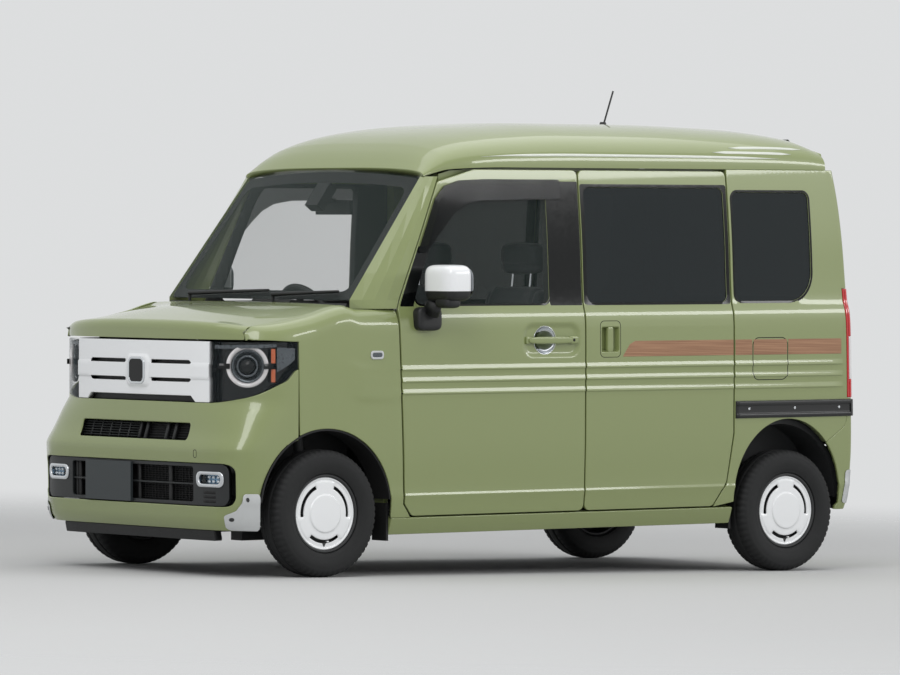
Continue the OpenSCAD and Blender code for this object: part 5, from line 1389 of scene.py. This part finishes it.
def cushion(name, place, seams):
    """Stuffed cover over the unit box that place maps to body points; seams measures to its channels."""
    form = egg((0, 0, 0), (1, 1, 1), 0.28, 0.34, 64, 40)
    mesh = bpy.data.meshes.new(name)
    mesh.from_pydata([world(place(*v)) for v in form.verts], [], form.faces)
    obj = new_object(name, mesh)
    skin_mod = obj.modifiers.new("remesh", "REMESH")
    skin_mod.mode, skin_mod.voxel_size = "VOXEL", VOXEL
    start = [v.co.copy() for v in baked(obj).vertices]
    cloth = obj.modifiers.new("cloth", "CLOTH")
    cloth.settings.use_pressure = True
    cloth.settings.uniform_pressure_force = PRESSURE
    cloth.settings.effector_weights.gravity = 0
    cloth.point_cache.frame_end = FRAMES
    for k in range(1, FRAMES + 1):
        bpy.context.scene.frame_set(k)
    for v, p in zip(baked(obj).vertices, start):
        d = v.co - p
        v.co = p + d * min(1, SWELL / max(d.length, 1e-9))
    bpy.context.scene.frame_set(1)
    obj.modifiers.new("smooth", "SUBSURF").levels = 1
    mesh = baked(obj)
    normals = [v.normal.copy() for v in mesh.vertices]
    for v, n in zip(mesh.vertices, normals):
        v.co -= n * (CHANNEL / 1000 * 2 ** -((seams(*unworld(v.co)) / CHANNEL_W) ** 2))
    for f in mesh.polygons:
        f.use_smooth = True
    mesh.materials.clear()
    mesh.materials.append(FABRIC)
    return obj


def twin(obj, name):
    """The same piece on the other side of the car."""
    other = new_object(name, obj.data.copy())
    other.data.transform(Matrix.Scale(-1, 4, (0, 1, 0)))
    other.data.flip_normals()
    return other


def seat_piece(obj, nodes=()):
    """A stuffed piece on the body, with the solid-model parts it replaces hidden."""
    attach(obj, "body")
    if nodes:
        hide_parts(*nodes)


SEAT_Y, BOLSTER, BENCH_Y, BENCH_SEAM, TAUT = 330, 150, 422, 290, 0.025


def bolster(b):
    """Rise of a seat toward its sides."""
    return 11 * ramp(abs(b), 0.52, 0.86)


def base_place(a, b, c):
    return (-985 + 205 * a, SEAT_Y + 222 * b * (1 - TAUT * (1 - a * a)),
            650 + 9 * a + 39 * c + (bolster(b) if c > 0 else 0))


def back_place(a, b, c):
    t = (c + 1) / 2
    x = mix(-1264, -1338, t) + mix(56, 42, t) * a + (bolster(b) if a > 0 else 0)
    return (x, SEAT_Y + mix(222, 200, t) * b * (1 - TAUT * (1 - c * c)), mix(676, 1206, t))


def rest_place(a, b, c):
    return (-1353 + 34 * a, SEAT_Y + 128 * b, 1318 + 66 * c)


def bench_place(a, b, c):
    return (-1906 + 172 * a, BENCH_Y * b, 566 + 50 * c)


def bench_back_place(a, b, c):
    t = (c + 1) / 2
    return (mix(-2141, -2204, t) + mix(46, 36, t) * a, BENCH_Y * b, mix(640, 1166, t))


def base_seams(x, y, z):
    return min(abs(abs(y - SEAT_Y) - BOLSTER), abs(x + 900), abs(x + 1040))


def back_seams(x, y, z):
    return min(abs(abs(y - SEAT_Y) - BOLSTER), abs(z - 820), abs(z - 980), abs(z - 1110))


def bench_seams(x, y, z):
    return min(abs(y), abs(abs(y) - BENCH_SEAM))


for part, place, seams, fill in (("base", base_place, base_seams, 0.7),
                                 ("back", back_place, back_seams, 0.7),
                                 ("head_rest", rest_place, lambda x, y, z: abs(z - 1290), 0.85)):
    left = cushion("seat_" + part + "_left", place, seams)
    seat_piece(left, ["front_seats"] if part == "base" else ())
    seat_piece(twin(left, "seat_" + part + "_right"), ())
seat_piece(cushion("bench_base", bench_place, bench_seams), ["rear_seat"])
seat_piece(cushion("bench_back", bench_back_place, bench_seams))
plinth = block(-1100, -800, SEAT_Y - 195, SEAT_Y + 195, 262, 606)
plinth.join(block(-1300, -1240, SEAT_Y - 195, SEAT_Y + 195, 500, 640))
for y in (SEAT_Y - 62, SEAT_Y + 62):
    plinth.join(tube([(-1338, y, 1170), (-1344, y, 1215), (-1350, y, 1275)], 6.5), 1)
put("seat_frames", plinth.both(), "body", [STEEL, CHROME], bevel=5)

# Camera at the photograph's place
EYE, PHOTO_W, SENSOR = (16203.8, 22352.0, 1148.4), 900, 36


def aim():
    yaw, pitch, roll, f = radians(232.1107), radians(-0.306), radians(1.0345), 6524
    d = Vector((cos(yaw) * cos(pitch), sin(yaw) * cos(pitch), sin(pitch)))
    r = d.cross(Vector((0, 0, 1))).normalized()
    u = r.cross(d)
    r, u = r * cos(roll) + u * sin(roll), u * cos(roll) - r * sin(roll)
    cam = new_object("camera", bpy.data.cameras.new("camera"))
    cam.matrix_world = Matrix.Translation(gear(EYE)) @ Matrix((r, u, -d)).transposed().to_4x4()
    cam.data.lens = f / PHOTO_W * SENSOR
    cam.data.sensor_width = SENSOR
    cam.data.clip_end = 200
    bpy.context.scene.camera = cam


aim()

# Floor that fades into the background, world and lamps
def pale_floor():
    m = bpy.data.materials.new("pale_floor")
    sh = Shader(m)
    far = sh.add("VectorMath", {0: sh.place()}, operation="LENGTH")["Value"]
    fade = sh.add("MapRange", {"From Min": 3, "From Max": 11, "To Min": 1, "To Max": 0, "Value": far},
                  interpolation_type="SMOOTHSTEP")
    sh.set(sh.main, {"Base Color": (0.56, 0.56, 0.555, 1), "Roughness": 0.9, "Specular IOR Level": 0.1,
                     "Alpha": fade["Result"]})
    return m


floor_mesh = bpy.data.meshes.new("floor")
FLOOR = 12
floor_mesh.from_pydata([(x * FLOOR, y * FLOOR, 0) for x, y in ((-1, -1), (1, -1), (1, 1), (-1, 1))], [],
                       [(0, 1, 2, 3)])
floor = new_object("floor", floor_mesh)
floor_mesh.materials.append(pale_floor())


def studio():
    """Soft light all round; what is seen directly, in gloss or through glass is one plain pale colour."""
    sky = bpy.data.worlds.new("studio")
    bpy.context.scene.world = sky
    sh = Shader(sky, "Background")
    light = sh.set(sh.main, {"Color": (0.80, 0.82, 0.84, 1), "Strength": 0.6}).outputs["Background"]
    seen = sh.add("Background", {"Color": (0.72, 0.73, 0.735, 1)})["Background"]
    path = sh.add("LightPath")
    first = sh.add("Math", {0: path["Is Camera Ray"], 1: path["Is Glossy Ray"]},
                   operation="MAXIMUM")["Value"]
    both = sh.add("Math", {0: first, 1: path["Is Transmission Ray"]}, operation="MAXIMUM")["Value"]
    choose = sh.add("MixShader", {"Fac": both, 1: light, 2: seen})["Shader"]
    sh.set(sh.tree.nodes["World Output"], {"Surface": choose})


studio()


def lamp(name, where, at, size, power):
    data = bpy.data.lights.new(name, "AREA")
    data.shape = "RECTANGLE"
    data.size, data.size_y, data.energy = size[0], size[1], power
    obj = new_object(name, data)
    obj.location = where
    obj.rotation_mode = "QUATERNION"
    obj.rotation_quaternion = (Vector(at) - Vector(where)).to_track_quat("-Z", "Y")


lamp("key", (6.5, 5.5, 6.0), (0, 0, 0.9), (4, 4), 230)
lamp("top", (0, 0.5, 6.5), (0, 0, 0.5), (11, 8), 270)
lamp("rear", (-8.0, 8.0, 4.4), (-1.0, 0, 1.2), (9, 1.3), 280)

bpy.context.scene.view_settings.view_transform = "Standard"
